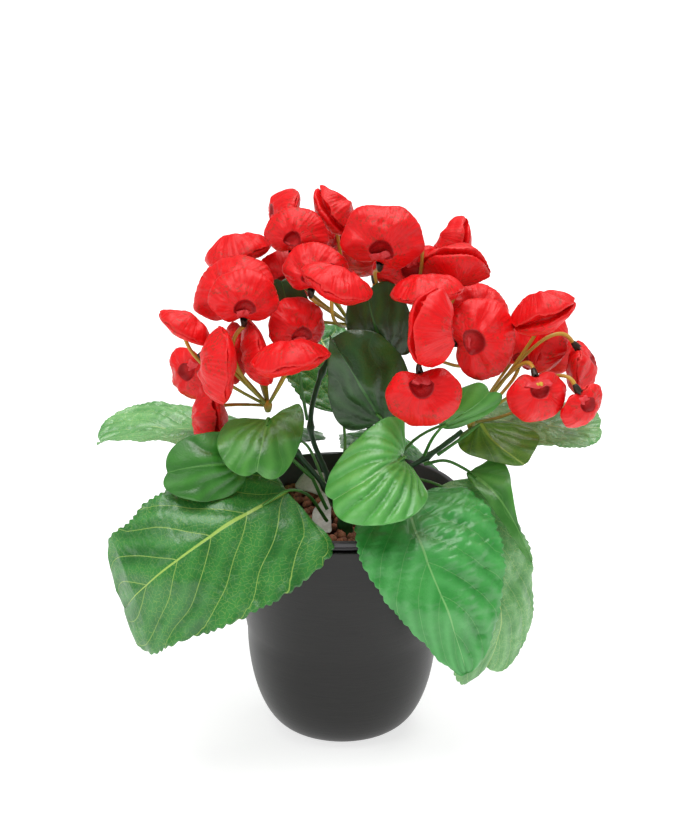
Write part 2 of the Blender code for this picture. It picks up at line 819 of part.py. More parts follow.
def blade_faces(stations, rib, half, edge, flip):
    """Triangles of one side of a blade from its rows' indices."""
    toothed = len(edge) > len(rib)
    faces = []
    for i in range(stations):
        faces.append((rib[i], rib[i + 1], half[i + 1]))
        faces.append((rib[i], half[i + 1], half[i]))
        if toothed:
            faces.append((half[i], edge[2 * i + 1], edge[2 * i]))
            faces.append((half[i], half[i + 1], edge[2 * i + 1]))
            faces.append((half[i + 1], edge[2 * i + 2], edge[2 * i + 1]))
        else:
            faces.append((half[i], half[i + 1], edge[i + 1]))
            faces.append((half[i], edge[i + 1], edge[i]))
    faces = [face for face in faces if len(set(face)) == 3]
    return [face[::-1] for face in faces] if flip else faces


def make_blade(name, shape):
    """A closed thin blade whose two faces carry the same triangles."""
    stations = TOOTHED_STATIONS if shape["toothed"] else ROUND_STATIONS
    rib, sides = blade_grid(shape, stations)
    points = list(rib)
    last = stations
    rib_index = list(range(stations + 1))
    faces = []
    edges = []
    for number, (half, edge) in enumerate(sides):
        half_index = [0]
        for point in half[1:-1]:
            half_index.append(len(points))
            points.append(point)
        half_index.append(last)
        edge_index = [0]
        for point in edge[1:-1]:
            edge_index.append(len(points))
            points.append(point)
        edge_index.append(last)
        faces += blade_faces(stations, rib_index, half_index, edge_index, number == 0)
        edges.append(edge_index)
    normals = [Vector((0, 0, 0)) for _ in points]
    for a, b, c in faces:
        normal = (points[b] - points[a]).cross(points[c] - points[a])
        for index in (a, b, c):
            normals[index] += normal
    count = len(points)
    lower = [p - n.normalized() * BLADE for p, n in zip(points, normals)]
    both = points + lower
    solid = list(faces)
    solid += [(c + count, b + count, a + count) for a, b, c in faces]
    left, right = edges
    outline = left + right[-2:0:-1]
    for k in range(len(outline)):
        a = outline[k]
        b = outline[(k + 1) % len(outline)]
        solid.append((b, a, a + count))
        solid.append((b, a + count, b + count))
    return make_object(name, both, solid, "leaf")


def make_leaf(name, shape):
    blade = make_blade(name, shape)
    path = [*shape["petiole"], line_through(shape["rib"], 0), line_through(shape["rib"], 0.12)]
    path = curve_through(path, 2)
    stalk = tube("petiole", path, [PETIOLE_RADIUS] * len(path), "leaf", sides=3)
    return fuse(blade, [stalk])


def make_card():
    """The blank card strap: a thin bent strip that leans at the back and lies down at the front."""
    corners = []
    for low, high in CARD_EDGES:
        low, high = Vector(low), Vector(high)
        before = Vector((0, -1, 0))
        up = before.cross(high - low).normalized()
        for lift in (0, CARD_THICKNESS):
            corners += [low + up * lift, high + up * lift]
    last = len(corners) - 4
    faces = [(0, 2, 3, 1), (last, last + 1, last + 3, last + 2)]
    for k in range(0, last, 4):
        below, top = (k, k + 1), (k + 2, k + 3)
        ahead, over = (k + 4, k + 5), (k + 6, k + 7)
        faces += [(below[0], below[1], ahead[1]), (below[0], ahead[1], ahead[0])]
        faces += [(top[0], over[1], top[1]), (top[0], over[0], over[1])]
        faces += [(below[0], ahead[0], over[0], top[0]), (below[1], top[1], over[1], ahead[1])]
    return make_object("card_strap", corners, faces, "card")


def main():
    clear_scene()
    make_pot()
    make_liner()
    make_filling()
    make_pebbles()
    make_stems()
    make_card()
    for name in HUBS:
        make_spray(name)
    for name, shape in LEAVES.items():
        make_leaf(name, shape)
    for name, (_, place, azimuth, elevation, roll, width, gape) in FLOWERS.items():
        make_flower(name, place, azimuth, elevation, roll, width, gape)
    for name, other in TOUCHING.items():
        fuse(bpy.data.objects[name], [bpy.data.objects[other]])


main()
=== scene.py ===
"""An artificial calceolaria bush in a round charcoal pot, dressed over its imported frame.

The file is laid out as an add-on: one operator for each group of pieces, listed in a sidebar
panel. Run as a script, it makes every piece in turn. Lengths in the tables are in millimetres.
"""

import math
import random

import bmesh
import bpy
import numpy as np
from bpy.props import FloatProperty, FloatVectorProperty, IntProperty, PointerProperty
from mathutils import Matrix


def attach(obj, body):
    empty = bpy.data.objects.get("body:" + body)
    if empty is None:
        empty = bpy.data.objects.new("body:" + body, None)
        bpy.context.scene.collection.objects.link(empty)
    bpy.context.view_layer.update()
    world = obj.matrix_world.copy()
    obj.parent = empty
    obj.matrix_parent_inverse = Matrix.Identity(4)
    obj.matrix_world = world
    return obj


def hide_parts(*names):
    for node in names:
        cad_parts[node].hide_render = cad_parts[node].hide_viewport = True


bl_info = {
    "name": "Potted calceolaria",
    "version": (1, 0, 0),
    "blender": (4, 5, 0),
    "location": "View3D > Sidebar > Calceolaria",
    "description": "Makes the pot, pebbles, stems, leaves and blooms of an artificial calceolaria",
    "category": "Object",
}

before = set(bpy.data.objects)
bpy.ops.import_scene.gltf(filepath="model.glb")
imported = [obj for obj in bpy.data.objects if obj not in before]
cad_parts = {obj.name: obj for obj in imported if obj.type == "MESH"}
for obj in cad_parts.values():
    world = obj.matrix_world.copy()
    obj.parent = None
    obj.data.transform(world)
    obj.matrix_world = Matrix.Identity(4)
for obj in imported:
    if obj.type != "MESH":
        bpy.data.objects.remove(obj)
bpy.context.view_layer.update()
MM = 0.001

# The frame's own sizes, as the source of the solids gives them
POT_TOP = 146.0
POT_RADIUS = 74.5
POT_WALL = 3.0
POT_TAPER = math.tan(math.radians(10.25))
CORNER_HEIGHT = 66.0
BASE_RADIUS = 34.0
LINER_TOP = 153.0
LINER_RADIUS = 75.0
LINER_WALL = 3.6
LINER_FLOOR = 1.6
LIP_HEIGHT = 3.2
LIP_WIDTH = 3.4
GROOVE_INSET = 2.4
FILL_TOP = 133.0
GAP = 0.4
TRUNK_FOOT = (2, -22, 96)
TRUNK_FORK = (2, -22, 150)
STEM_ROOT = (2, -22, 140)
CARD_EDGES = (
    ((-31, 40, 141.6), (-21, 46, 153)),
    ((-13, 22, 142), (-3, 27, 151)),
    ((-18, -2, 142), (-6.5, -1, 144.5)),
    ((-18, -36, 141.6), (-6, -36, 142.4)),
)

# A bloom's proportions, in shares of its width
HALF_HEIGHT = 0.41
FRONT_DOME = 0.20
REAR_DOME = 0.14
THROAT_DROP = 0.17
BLADE = 0.8
CALYX_LENGTH = 5.0

HUBS = {
    "left": (-44, -28, 222),
    "middle": (6, 12, 260),
    "upper_right": (38, 8, 250),
    "right": (78, -20, 208),
}

STEMS = {
    "left": ((-10, -26, 168), (-27, -28, 192), (-40, -28, 214)),
    "middle": ((-8, -16, 170), (-19, -6, 200), (-12, 4, 232), (3, 11, 254)),
    "upper_right": ((8, -18, 175), (20, -10, 210), (34, 6, 244)),
    "right": ((22, -24, 168), (52, -22, 187), (73, -21, 203)),
}

# Blooms: spray, centre, facing azimuth and elevation, roll of the pouch, width, gape
BLOOMS = {
    "flower_left_top": ("left", (-63, 22, 304), -90, 73, 90, 41, 2),
    "flower_left_arch": ("left", (-64, -9, 289), -20, 28, -25, 50, 3),
    "flower_left_face": ("left", (-57, -38, 292), 5, 12, 0, 41, 1.5),
    "flower_left_outer": ("left", (-92, -30, 272), 90, 57, -90, 34, 4),
    "flower_left_side": ("left", (-89, -6, 234), -45, 0, 200, 41, 4),
    "flower_left_upright": ("left", (-71, -54, 256), -75, 5, 84, 46, 3),
    "flower_left_shaded": ("left", (-64, -10, 248), -85, 0, 90, 40, 1.5),
    "flower_left_leaning": ("left", (-50, -34, 256), -75, -14, 98, 42, 1.5),
    "flower_left_front": ("left", (-29, -70, 266), -90, 80, 90, 46, 3),
    "flower_left_inner": ("left", (-28, -20, 270), 30, 10, 0, 40, 4),
    "flower_left_low": ("left", (-78, -26, 213), -75, 0, 90, 42, 6),
    "flower_mid_peak_left": ("middle", (-34, 22, 329), -75, 28, 0, 36, 4),
    "flower_mid_face_left": ("middle", (-27, 3, 320), -5, 20, 10, 38, 2),
    "flower_mid_peak": ("middle", (-4, 20, 328), 90, 38, -75, 38, 8),
    "flower_mid_face": ("upper_right", (24, -16, 322), 0, 15, 5, 49, 3),
    "flower_mid_round": ("middle", (-15, -20, 304), -10, 20, 10, 40, 2),
    "flower_mid_loaf": ("middle", (-3, -51, 304), 90, 70, -90, 44, 2),
    "flower_mid_tucked": ("middle", (-33, 26, 287), 10, 10, 40, 36, 2),
    "flower_mid_behind": ("middle", (-9, 46, 308), 50, 10, 0, 36, 3),
    "flower_mid_under": ("upper_right", (39, 5, 299), 20, -30, 180, 44, 3),
    "flower_upper_peak": ("upper_right", (68, 30, 304), -70, 25, 98, 38, 8),
    "flower_upper_cup": ("upper_right", (68, -4, 300), 180, 35, 0, 42, 8),
    "flower_upper_lens": ("upper_right", (50, -30, 294), -90, 84, 90, 42, 1.5),
    "flower_upper_upright": ("upper_right", (52, -62, 281), 50, 0, -90, 47, 8),
    "flower_upper_disc": ("upper_right", (82, -26, 264), 10, 10, 80, 50, 6),
    "flower_upper_back": ("upper_right", (82, 14, 269), 15, 35, 30, 42, 3),
    "flower_front_pouch": ("upper_right", (47, -62, 240), 5, 15, 175, 45, 3),
    "flower_right_open": ("right", (119, -24, 279), -90, 70, 95, 42, 9),
    "flower_right_band": ("right", (127, 14, 247), 70, -17, -90, 42, 4),
    "flower_right_face": ("right", (115, -44, 234), 15, 10, 178, 38, 3),
    "flower_right_end": ("right", (145, 4, 235), 85, 5, 180, 42, 3),
    "flower_right_low": ("right", (142, -36, 225), 40, -10, 160, 34, 3),
    "flower_right_shaded": ("right", (109, 16, 245), 0, 0, 0, 36, 2),
    "flower_back_left": ("left", (-58, 46, 272), 190, 20, 0, 44, 2),
    "flower_back_middle": ("middle", (20, 56, 289), 175, 25, 0, 44, 2),
    "flower_back_right": ("upper_right", (84, 44, 248), 170, 15, 0, 44, 2),
    "flower_back_end": ("right", (126, 44, 232), 160, 10, 0, 42, 2),
}

# Blooms whose upper lip stands wide open and shows the anthers
OPEN_LIPS = ("flower_right_face",)

STALK_OFFSETS = {
    "flower_left_top": (-4, -44, -6),
    "flower_mid_peak": (8, -6, -3),
    "flower_mid_loaf": (-2, -15, -22),
    "flower_mid_tucked": (-2, -2, -5),
    "flower_left_arch": (-1, 6, 1),
    "flower_left_face": (-18, -11, 1),
    "flower_left_outer": (4, -34, -8),
    "flower_left_side": (-13, -23, 5),
    "flower_mid_peak_left": (14, -6, 4),
    "flower_mid_face": (-8, 10, 15),
    "flower_mid_round": (2, 1, 10),
    "flower_mid_under": (16, -24, -2),
    "flower_front_pouch": (14, 11, -12),
    "flower_right_end": (2, -12, 8),
    "flower_right_low": (4, 4, -2),
}

# Two blooms that press on each other are one piece, under the first one's name
PRESSED = {
    "flower_left_side": "flower_left_low",
    "flower_right_band": "flower_right_shaded",
    "flower_mid_face_left": "flower_mid_peak_left",
    "flower_upper_cup": "flower_mid_under",
}


def leaf(
    rib, left, right, lobe=0.0, toothed=False, power=0.5, petiole=(), print_="mid", pucker=(0.6, 0.6),
    girth=0.9, fold=0.0, square=0.0, folds=2.6,
):
    """A blade: four points along its rib, two on each edge, its petiole's path and its finish."""
    return {
        "rib": rib,
        "left": left,
        "right": right,
        "lobe": lobe,
        "toothed": toothed,
        "power": power,
        "petiole": petiole,
        "print": print_,
        "pucker": pucker,
        "girth": girth,
        "fold": fold,
        "square": square,
        "folds": folds,
    }


LEAVES = {
    "leaf_front_left": leaf(
        rib=((-32, -62, 181), (-69, -86, 167), (-101, -98, 147), (-132, -88, 115)),
        left=((-40, -103, 126), (-83, -108, 108)),
        right=((-88, -56, 189), (-119, -70, 173)),
        lobe=30,
        toothed=True,
        power=0.34,
        petiole=((-9, -30, 148), (-20, -38, 168)),
        print_="deep",
        pucker=(0.7, 0.7),
        girth=1.25,
        fold=0.3,
        square=0.3,
    ),
    "leaf_front_right": leaf(
        rib=((38, -50, 173), (48, -86, 153), (61, -98, 122), (74, -98, 79)),
        left=((93, -62, 158), (96, -78, 124)),
        right=((12, -92, 146), (37, -98, 111)),
        lobe=10,
        toothed=True,
        petiole=((14, -28, 148), (27, -40, 168)),
        print_="mid",
        pucker=(1.5, 0.7),
    ),
    "leaf_right_low": leaf(
        rib=((59, -34, 173), (86, -56, 143), (96, -62, 102), (89, -58, 62)),
        left=((112, -36, 140), (116, -46, 90)),
        right=((60, -72, 131), (66, -74, 83)),
        lobe=6,
        toothed=True,
        power=0.42,
        petiole=((16, -18, 148), (36, -24, 172)),
        print_="pale",
        pucker=(0.7, 0.7),
    ),
    "leaf_left_far": leaf(
        rib=((-49, 6, 190), (-82, 14, 192), (-116, 18, 192), (-150, 10, 185)),
        left=((-83, -16, 192), (-123, -12, 193)),
        right=((-90, 48, 192), (-128, 46, 195)),
        lobe=6,
        toothed=True,
        petiole=((-9, -12, 148), (-26, 0, 178)),
        print_="pale",
        pucker=(1.0, 1.0),
    ),
    "leaf_right_far": leaf(
        rib=((78, 8, 201), (104, 12, 198), (133, 10, 195), (160, 12, 194)),
        left=((106, 46, 199), (140, 46, 198)),
        right=((103, -18, 197), (136, -18, 191)),
        lobe=6,
        toothed=True,
        petiole=((14, -10, 148), (44, 2, 188)),
        print_="pale",
        pucker=(0.9, 0.9),
    ),
    "leaf_back_left": leaf(
        rib=((-26, 40, 174), (-52, 72, 172), (-76, 96, 154), (-92, 116, 124)),
        left=((-83, 46, 172), (-106, 72, 150)),
        right=((-20, 92, 158), (-44, 118, 138)),
        lobe=8,
        toothed=True,
        petiole=((-6, -6, 148), (-18, 18, 172)),
        print_="low",
        pucker=(1.0, 1.0),
    ),
    "leaf_back_right": leaf(
        rib=((22, 44, 176), (30, 78, 168), (40, 100, 140), (50, 108, 100)),
        left=((-2, 88, 154), (8, 108, 122)),
        right=((60, 82, 140), (72, 96, 104)),
        lobe=8,
        toothed=True,
        petiole=((8, -6, 148), (22, 18, 172)),
        print_="deep",
        pucker=(1.0, 1.0),
        girth=1.5,
    ),
    "leaf_back_mid": leaf(
        rib=((0, 34, 196), (-8, 56, 218), (-14, 74, 232), (-20, 94, 236)),
        left=((-38, 46, 220), (-42, 66, 236)),
        right=((26, 62, 212), (14, 82, 228)),
        lobe=6,
        toothed=True,
        petiole=((1, -6, 148), (2, 18, 178)),
        print_="deep",
        pucker=(1.0, 1.0),
        girth=1.2,
    ),
    "leaf_right_under": leaf(
        rib=((84, -24, 209), (91, -32, 201), (99, -38, 196), (109, -40, 189)),
        left=((72, -28, 194), (85, -34, 190)),
        right=((118, -32, 205), (117, -36, 199)),
        petiole=((58, -27, 190), (74, -29, 203)),
        print_="yellow",
        pucker=(0.5, 0.5),
    ),
    "leaf_shade_mid": leaf(
        rib=((24, -34, 214), (15, -40, 232), (5, -42, 250), (-6, -34, 266)),
        left=((-7, -36, 225), (-8, -36, 252)),
        right=((41, -30, 239), (30, -30, 261)),
        lobe=6,
        petiole=((12, -21, 178), (20, -30, 200)),
        print_="shade",
        pucker=(0.6, 0.6),
    ),
    "leaf_sheen_mid": leaf(
        rib=((37, -60, 201), (25, -78, 202), (11, -86, 195), (-5, -84, 184)),
        left=((40, -98, 179), (17, -102, 175)),
        right=((22, -58, 223), (1, -68, 206)),
        lobe=8,
        petiole=((10, -30, 152), (26, -48, 182)),
        print_="sheen",
        pucker=(2.4, 0.8),
        folds=4.4,
    ),
    "leaf_heart_left": leaf(
        rib=((-43, -50, 222), (-45, -64, 217), (-47, -74, 210), (-49, -78, 199)),
        left=((-22, -58, 221), (-28, -72, 204)),
        right=((-73, -62, 213), (-68, -74, 203)),
        lobe=8,
        petiole=((-30, -33, 197), (-38, -42, 213)),
        print_="plain",
        pucker=(0.5, 0.5),
    ),
    "leaf_round_left": leaf(
        rib=((-55, -54, 196), (-71, -66, 199), (-86, -70, 199), (-102, -66, 194)),
        left=((-76, -76, 180), (-94, -76, 182)),
        right=((-74, -57, 216), (-92, -60, 213)),
        lobe=6,
        petiole=((-17, -31, 176), (-37, -40, 197)),
        print_="low",
        pucker=(0.6, 0.6),
    ),
    "leaf_hanging_right": leaf(
        rib=((77, -26, 179), (88, -40, 175), (100, -50, 162), (115, -54, 131)),
        left=((99, -36, 186), (103, -48, 169)),
        right=((82, -42, 173), (95, -52, 158)),
        petiole=((50, -27, 184), (63, -29, 187)),
        print_="plain",
        pucker=(0.4, 0.4),
    ),
    "leaf_top_dark": leaf(
        rib=((28, -14, 252), (22, -16, 263), (18, -16, 275), (15, -10, 288)),
        left=((4, -6, 260), (3, -4, 276)),
        right=((43, -8, 260), (38, -6, 282)),
        petiole=((22, -12, 219), (25, -14, 238)),
        print_="shade",
        pucker=(0.4, 0.4),
    ),
    "leaf_right_mid": leaf(
        rib=((59, -40, 212), (68, -44, 220), (77, -46, 227), (87, -44, 236)),
        left=((62, -38, 230), (73, -38, 238)),
        right=((80, -46, 219), (92, -46, 228)),
        petiole=((50, -27, 190), (54, -35, 203)),
        print_="plain",
        pucker=(0.4, 0.4),
    ),
    "leaf_left_top": leaf(
        rib=((-27, -10, 254), (-30, -8, 266), (-33, -6, 280), (-36, -2, 292)),
        left=((-39, -6, 262), (-42, -4, 281)),
        right=((-15, -6, 265), (-21, -2, 283)),
        petiole=((-21, -9, 206), (-25, -11, 232)),
        print_="shade",
        pucker=(0.4, 0.4),
    ),
}


def linear(code):
    """A linear colour from an sRGB hex value."""
    shares = [int(code[i : i + 2], 16) / 255 for i in (1, 3, 5)]
    return tuple(s / 12.92 if s <= 0.04045 else ((s + 0.055) / 1.055) ** 2.4 for s in shares)


# Sizes and colours that a user would change


class PotSettings(bpy.types.PropertyGroup):
    sides: IntProperty(name="Sides", description="Facets round the pot", default=144, min=24)
    ripple: FloatProperty(
        name="Turning ripple",
        description="Height of the ripple that turning leaves on the wall",
        default=0.00008,
        unit="LENGTH",
    )
    pebble_size: FloatProperty(
        name="Pebble size", description="Mean pebble width", default=0.0072, unit="LENGTH"
    )
    pot_colour: FloatVectorProperty(
        name="Pot", description="Colour of the pot", subtype="COLOR", default=linear("#1a1918")
    )
    liner_colour: FloatVectorProperty(
        name="Liner", description="Colour of the liner", subtype="COLOR", default=linear("#3a373b")
    )
    pebble_colour: FloatVectorProperty(
        name="Pebbles", description="Colour of the clay", subtype="COLOR", default=linear("#8a5a42")
    )


class StemSettings(bpy.types.PropertyGroup):
    stem_radius: FloatProperty(
        name="Stem radius", description="Radius of a stem", default=0.0016, unit="LENGTH"
    )
    stalk_radius: FloatProperty(
        name="Stalk radius", description="Radius of a flower stalk", default=0.0010, unit="LENGTH"
    )
    stem_colour: FloatVectorProperty(
        name="Stems", description="Colour of the stems", subtype="COLOR", default=linear("#0f2e16")
    )
    stalk_colour: FloatVectorProperty(
        name="Stalks", description="Lower stalk colour", subtype="COLOR", default=linear("#708220")
    )
    stalk_tip_colour: FloatVectorProperty(
        name="Stalk ends", description="Colour near the bloom", subtype="COLOR", default=linear("#cf9f38")
    )


class LeafSettings(bpy.types.PropertyGroup):
    thickness: FloatProperty(
        name="Thickness", description="Thickness of the leaf fabric", default=0.0004, unit="LENGTH"
    )
    side_veins: IntProperty(name="Side veins", description="Veins on each side", default=5, min=2)
    teeth: IntProperty(name="Teeth", description="Teeth along each edge", default=26, min=2)
    petiole_colour: FloatVectorProperty(
        name="Petioles", description="Petiole colour", subtype="COLOR", default=linear("#2c6a1e")
    )


class BloomSettings(bpy.types.PropertyGroup):
    flutes: IntProperty(name="Flutes", description="Pleats round a bloom's throat", default=34, min=3)
    pleat: FloatProperty(
        name="Pleat depth", description="Pleat depth as a share of a bloom's width", default=0.012
    )
    colour: FloatVectorProperty(
        name="Blooms", description="Colour of the blooms", subtype="COLOR", default=linear("#ee0d12")
    )


class StageSettings(bpy.types.PropertyGroup):
    distance: FloatProperty(
        name="Camera distance", description="From the camera to its target", default=1.3, unit="LENGTH"
    )
    brightness: FloatProperty(name="Light", description="Strength of the lights", default=1.0, min=0)


# Shared helpers


def add(tree, kind, settings=None, inputs=None):
    """Adds a node, sets its settings, and fills or links its inputs by name or number."""
    node = tree.nodes.new(kind)
    for key, value in (settings or {}).items():
        setattr(node, key, value)
    for key, value in (inputs or {}).items():
        if isinstance(value, bpy.types.NodeSocket):
            tree.links.new(value, node.inputs[key])
        else:
            node.inputs[key].default_value = value
    return node


def new_material(name, colour, **numbers):
    """A Principled material, its node tree and its shader, with uniform numbers on its sockets."""
    made = bpy.data.materials.new(name)
    made.use_nodes = True
    shader = made.node_tree.nodes["Principled BSDF"]
    shader.inputs["Base Color"].default_value = (*colour, 1)
    for key, value in numbers.items():
        shader.inputs[key.replace("_", " ")].default_value = value
    return made, made.node_tree, shader


def mesh_object(name, points, faces, materials, maps=None, kinds=None):
    """A closed, smooth mesh from points in millimetres, with a UV map for each named array."""
    mesh = bpy.data.meshes.new(name)
    mesh.from_pydata((np.asarray(points) * MM).tolist(), [], np.asarray(faces).tolist())
    corners = np.empty(len(mesh.loops), np.int32)
    mesh.loops.foreach_get("vertex_index", corners)
    for key, values in (maps or {}).items():
        layer = mesh.uv_layers.new(name=key)
        layer.uv.foreach_set("vector", np.asarray(values, np.float32)[corners].ravel())
    if kinds is not None:
        mesh.polygons.foreach_set("material_index", np.asarray(kinds, np.int32))
    for material in materials:
        mesh.materials.append(material)
    shape = bmesh.new()
    shape.from_mesh(mesh)
    bmesh.ops.remove_doubles(shape, verts=shape.verts, dist=1e-6)
    shape.to_mesh(mesh)
    shape.free()
    mesh.shade_smooth()
    obj = bpy.data.objects.new(name, mesh)
    bpy.context.scene.collection.objects.link(obj)
    return obj


def join(first, others):
    """One object from several."""
    everything = [first, *others]
    with bpy.context.temp_override(
        active_object=first, object=first, selected_editable_objects=everything
    ):
        bpy.ops.object.join()
    return first


def finish_piece(obj, slot, *nodes):
    """Hangs a piece on the root body and hides the CAD nodes it stands for; the slot is not used."""
    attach(obj, "root")
    if nodes:
        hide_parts(*nodes)


def curve_object(name, splines):
    """A curve of poly splines, each a list of (point, radius) in metres."""
    curve = bpy.data.curves.new(name, "CURVE")
    curve.dimensions = "3D"
    for row in splines:
        spline = curve.splines.new("POLY")
        spline.points.add(len(row) - 1)
        for held, (point, radius) in zip(spline.points, row):
            held.co = (*point, 1)
            held.radius = radius
    obj = bpy.data.objects.new(name, curve)
    bpy.context.scene.collection.objects.link(obj)
    return obj


def new_tree(name, sizes):
    """A Geometry Nodes tree with a geometry input and the named inputs."""
    tree = bpy.data.node_groups.new(name, "GeometryNodeTree")
    tree.interface.new_socket("Geometry", in_out="INPUT", socket_type="NodeSocketGeometry")
    tree.interface.new_socket("Geometry", in_out="OUTPUT", socket_type="NodeSocketGeometry")
    for key, kind in sizes.items():
        tree.interface.new_socket(key, in_out="INPUT", socket_type="NodeSocket" + kind)
    return tree, tree.nodes.new("NodeGroupInput").outputs


def close_tree(tree, geometry, material):
    """Ends a tree in Realize Instances and Set Material."""
    real = add(tree, "GeometryNodeRealizeInstances", None, {"Geometry": geometry})
    dressed = add(
        tree,
        "GeometryNodeSetMaterial",
        None,
        {"Geometry": real.outputs[0], "Material": material},
    )
    add(tree, "NodeGroupOutput", None, {0: dressed.outputs[0]})


def grow(obj, tree, sizes):
    """Runs a tree on an object and gives its result as a plain mesh object in its place."""
    modifier = obj.modifiers.new("grow", "NODES")
    modifier.node_group = tree
    for item in tree.interface.items_tree:
        if item.in_out == "INPUT" and item.name in sizes:
            modifier[item.identifier] = sizes[item.name]
    graph = bpy.context.evaluated_depsgraph_get()
    mesh = bpy.data.meshes.new_from_object(obj.evaluated_get(graph))
    name = obj.name
    bpy.data.objects.remove(obj, do_unlink=True)
    made = bpy.data.objects.new(name, mesh)
    mesh.name = name
    bpy.context.scene.collection.objects.link(made)
    return made


def face_outwards(obj):
    shape = bmesh.new()
    shape.from_mesh(obj.data)
    bmesh.ops.remove_doubles(shape, verts=shape.verts, dist=1e-6)
    bmesh.ops.recalc_face_normals(shape, faces=shape.faces)
    shape.to_mesh(obj.data)
    shape.free()


def waves(points, size, seed, count=9):
    """Smooth noise about -1 to 1 at points: plane waves of about this length, from a seed."""
    rng = np.random.default_rng(seed)
    total = np.zeros(points.shape[:-1])
    for _ in range(count):
        way = rng.normal(size=3)
        way *= 2 * math.pi / size * rng.uniform(0.6, 1.5) / np.linalg.norm(way)
        total += np.sin(points @ way + rng.uniform(0, 2 * math.pi))
    return total / math.sqrt(count)


def seed_of(name):
    return random.Random(name).randrange(1 << 30)


def unit(vectors):
    length = np.linalg.norm(vectors, axis=-1, keepdims=True)
    return vectors / np.maximum(length, 1e-9)


def curve_through(points, steps):
    """A smooth curve through points, with this many pieces between each two."""
    points = [np.array(p, float) for p in points]
    held = [points[0] * 2 - points[1], *points, points[-1] * 2 - points[-2]]
    curve = []
    for k in range(1, len(held) - 2):
        a, b, c, d = held[k - 1 : k + 3]
        for i in range(steps):
            t = i / steps
            curve.append(
                0.5
                * (
                    2 * b
                    + (c - a) * t
                    + (2 * a - 5 * b + 4 * c - d) * t**2
                    + (3 * b - 3 * c + d - a) * t**3
                )
            )
    curve.append(points[-1])
    return curve


# The pot, its liner and what fills it


def wall_radius(height):
    return POT_RADIUS - (POT_TOP - height) * POT_TAPER


def liner_radius(height):
    return wall_radius(height) - POT_WALL - GAP


def inner_radius(height):
    return liner_radius(height) - LINER_WALL


def pot_outline(inset, lift, steps):
    """The pot's round bottom and wall, moved in by an inset and up by a lift."""
    wall = wall_radius(CORNER_HEIGHT) - inset
    base = BASE_RADIUS - inset
    outline = []
    for k in range(steps + 1):
        turn = math.pi / 2 * (1 - k / steps)
        radius = base + (wall - base) * math.cos(turn)
        outline.append((radius, lift + (CORNER_HEIGHT - lift) * (1 - math.sin(turn))))
    for k in range(1, steps + 1):
        height = CORNER_HEIGHT + (POT_TOP - CORNER_HEIGHT) * k / steps
        outline.append((wall_radius(height) - inset, height))
    return outline


def eased(outline, corners, reach, steps=4):
    """The outline with the given corners rounded over a reach."""
    made = []
    for k, point in enumerate(outline):
        here = np.array(point, float)
        if k not in corners:
            made.append(tuple(here))
            continue
        before = np.array(outline[k - 1], float) - here
        after = np.array(outline[k + 1], float) - here
        start = here + before / np.linalg.norm(before) * min(reach, np.linalg.norm(before) * 0.45)
        end = here + after / np.linalg.norm(after) * min(reach, np.linalg.norm(after) * 0.45)
        for i in range(steps + 1):
            t = i / steps
            made.append(tuple(start * (1 - t) ** 2 + 2 * here * t * (1 - t) + end * t**2))
    return made


def turning_tree():
    """Turns the input curve about Z; its X is the radius less the turn's own and its Y is -Z."""
    tree, given = new_tree(
        "turned_body",
        {
            "Sides": "Int",
            "Turn Radius": "Float",
            "Ripple Height": "Float",
            "Ripple Spacing": "Float",
            "Finish": "Material",
        },
    )
    path = add(
        tree,
        "GeometryNodeCurvePrimitiveCircle",
        None,
        {"Resolution": given["Sides"], "Radius": given["Turn Radius"]},
    )
    body = add(
        tree, "GeometryNodeCurveToMesh", None, {0: path.outputs[0], 1: given["Geometry"]}
    )
    place = add(tree, "GeometryNodeInputPosition")
    flat = add(
        tree,
        "ShaderNodeVectorMath",
        {"operation": "MULTIPLY"},
        {0: place.outputs[0], 1: (0.12, 0.12, 1)},
    )
    scaled = add(tree, "ShaderNodeVectorMath", {"operation": "DIVIDE"}, {0: flat.outputs[0]})
    spacing = add(
        tree,
        "ShaderNodeCombineXYZ",
        None,
        {key: given["Ripple Spacing"] for key in ("X", "Y", "Z")},
    )
    tree.links.new(spacing.outputs[0], scaled.inputs[1])
    noise = add(tree, "ShaderNodeTexNoise", None, {"Vector": scaled.outputs[0], "Scale": 1.0})
    centred = add(tree, "ShaderNodeMath", {"operation": "SUBTRACT"}, {0: noise.outputs[0], 1: 0.5})
    height = add(
        tree,
        "ShaderNodeMath",
        {"operation": "MULTIPLY"},
        {0: centred.outputs[0], 1: given["Ripple Height"]},
    )
    normal = add(tree, "GeometryNodeInputNormal")
    push = add(
        tree,
        "ShaderNodeVectorMath",
        {"operation": "SCALE"},
        {0: normal.outputs[0], "Scale": height.outputs[0]},
    )
    moved = add(
        tree, "GeometryNodeSetPosition", None, {"Geometry": body.outputs[0], "Offset": push.outputs[0]}
    )
    merged = add(
        tree, "GeometryNodeMergeByDistance", None, {"Geometry": moved.outputs[0], "Distance": 2e-6}
    )
    smooth = add(tree, "GeometryNodeSetShadeSmooth", None, {"Geometry": merged.outputs[0]})
    close_tree(tree, smooth.outputs[0], given["Finish"])
    return tree


def turned(name, outline, settings, finish, tree):
    """A body turned about Z from its (radius, height) outline in millimetres, both ends on the axis."""
    turn = 0.05
    row = [((r * MM - turn, -z * MM, 0), 1.0) for r, z in outline]
    sizes = {
        "Sides": settings.sides,
        "Turn Radius": turn,
        "Ripple Height": settings.ripple,
        "Ripple Spacing": 0.003,
        "Finish": finish,
    }
    obj = grow(curve_object(name, [row]), tree, sizes)
    face_outwards(obj)
    return obj


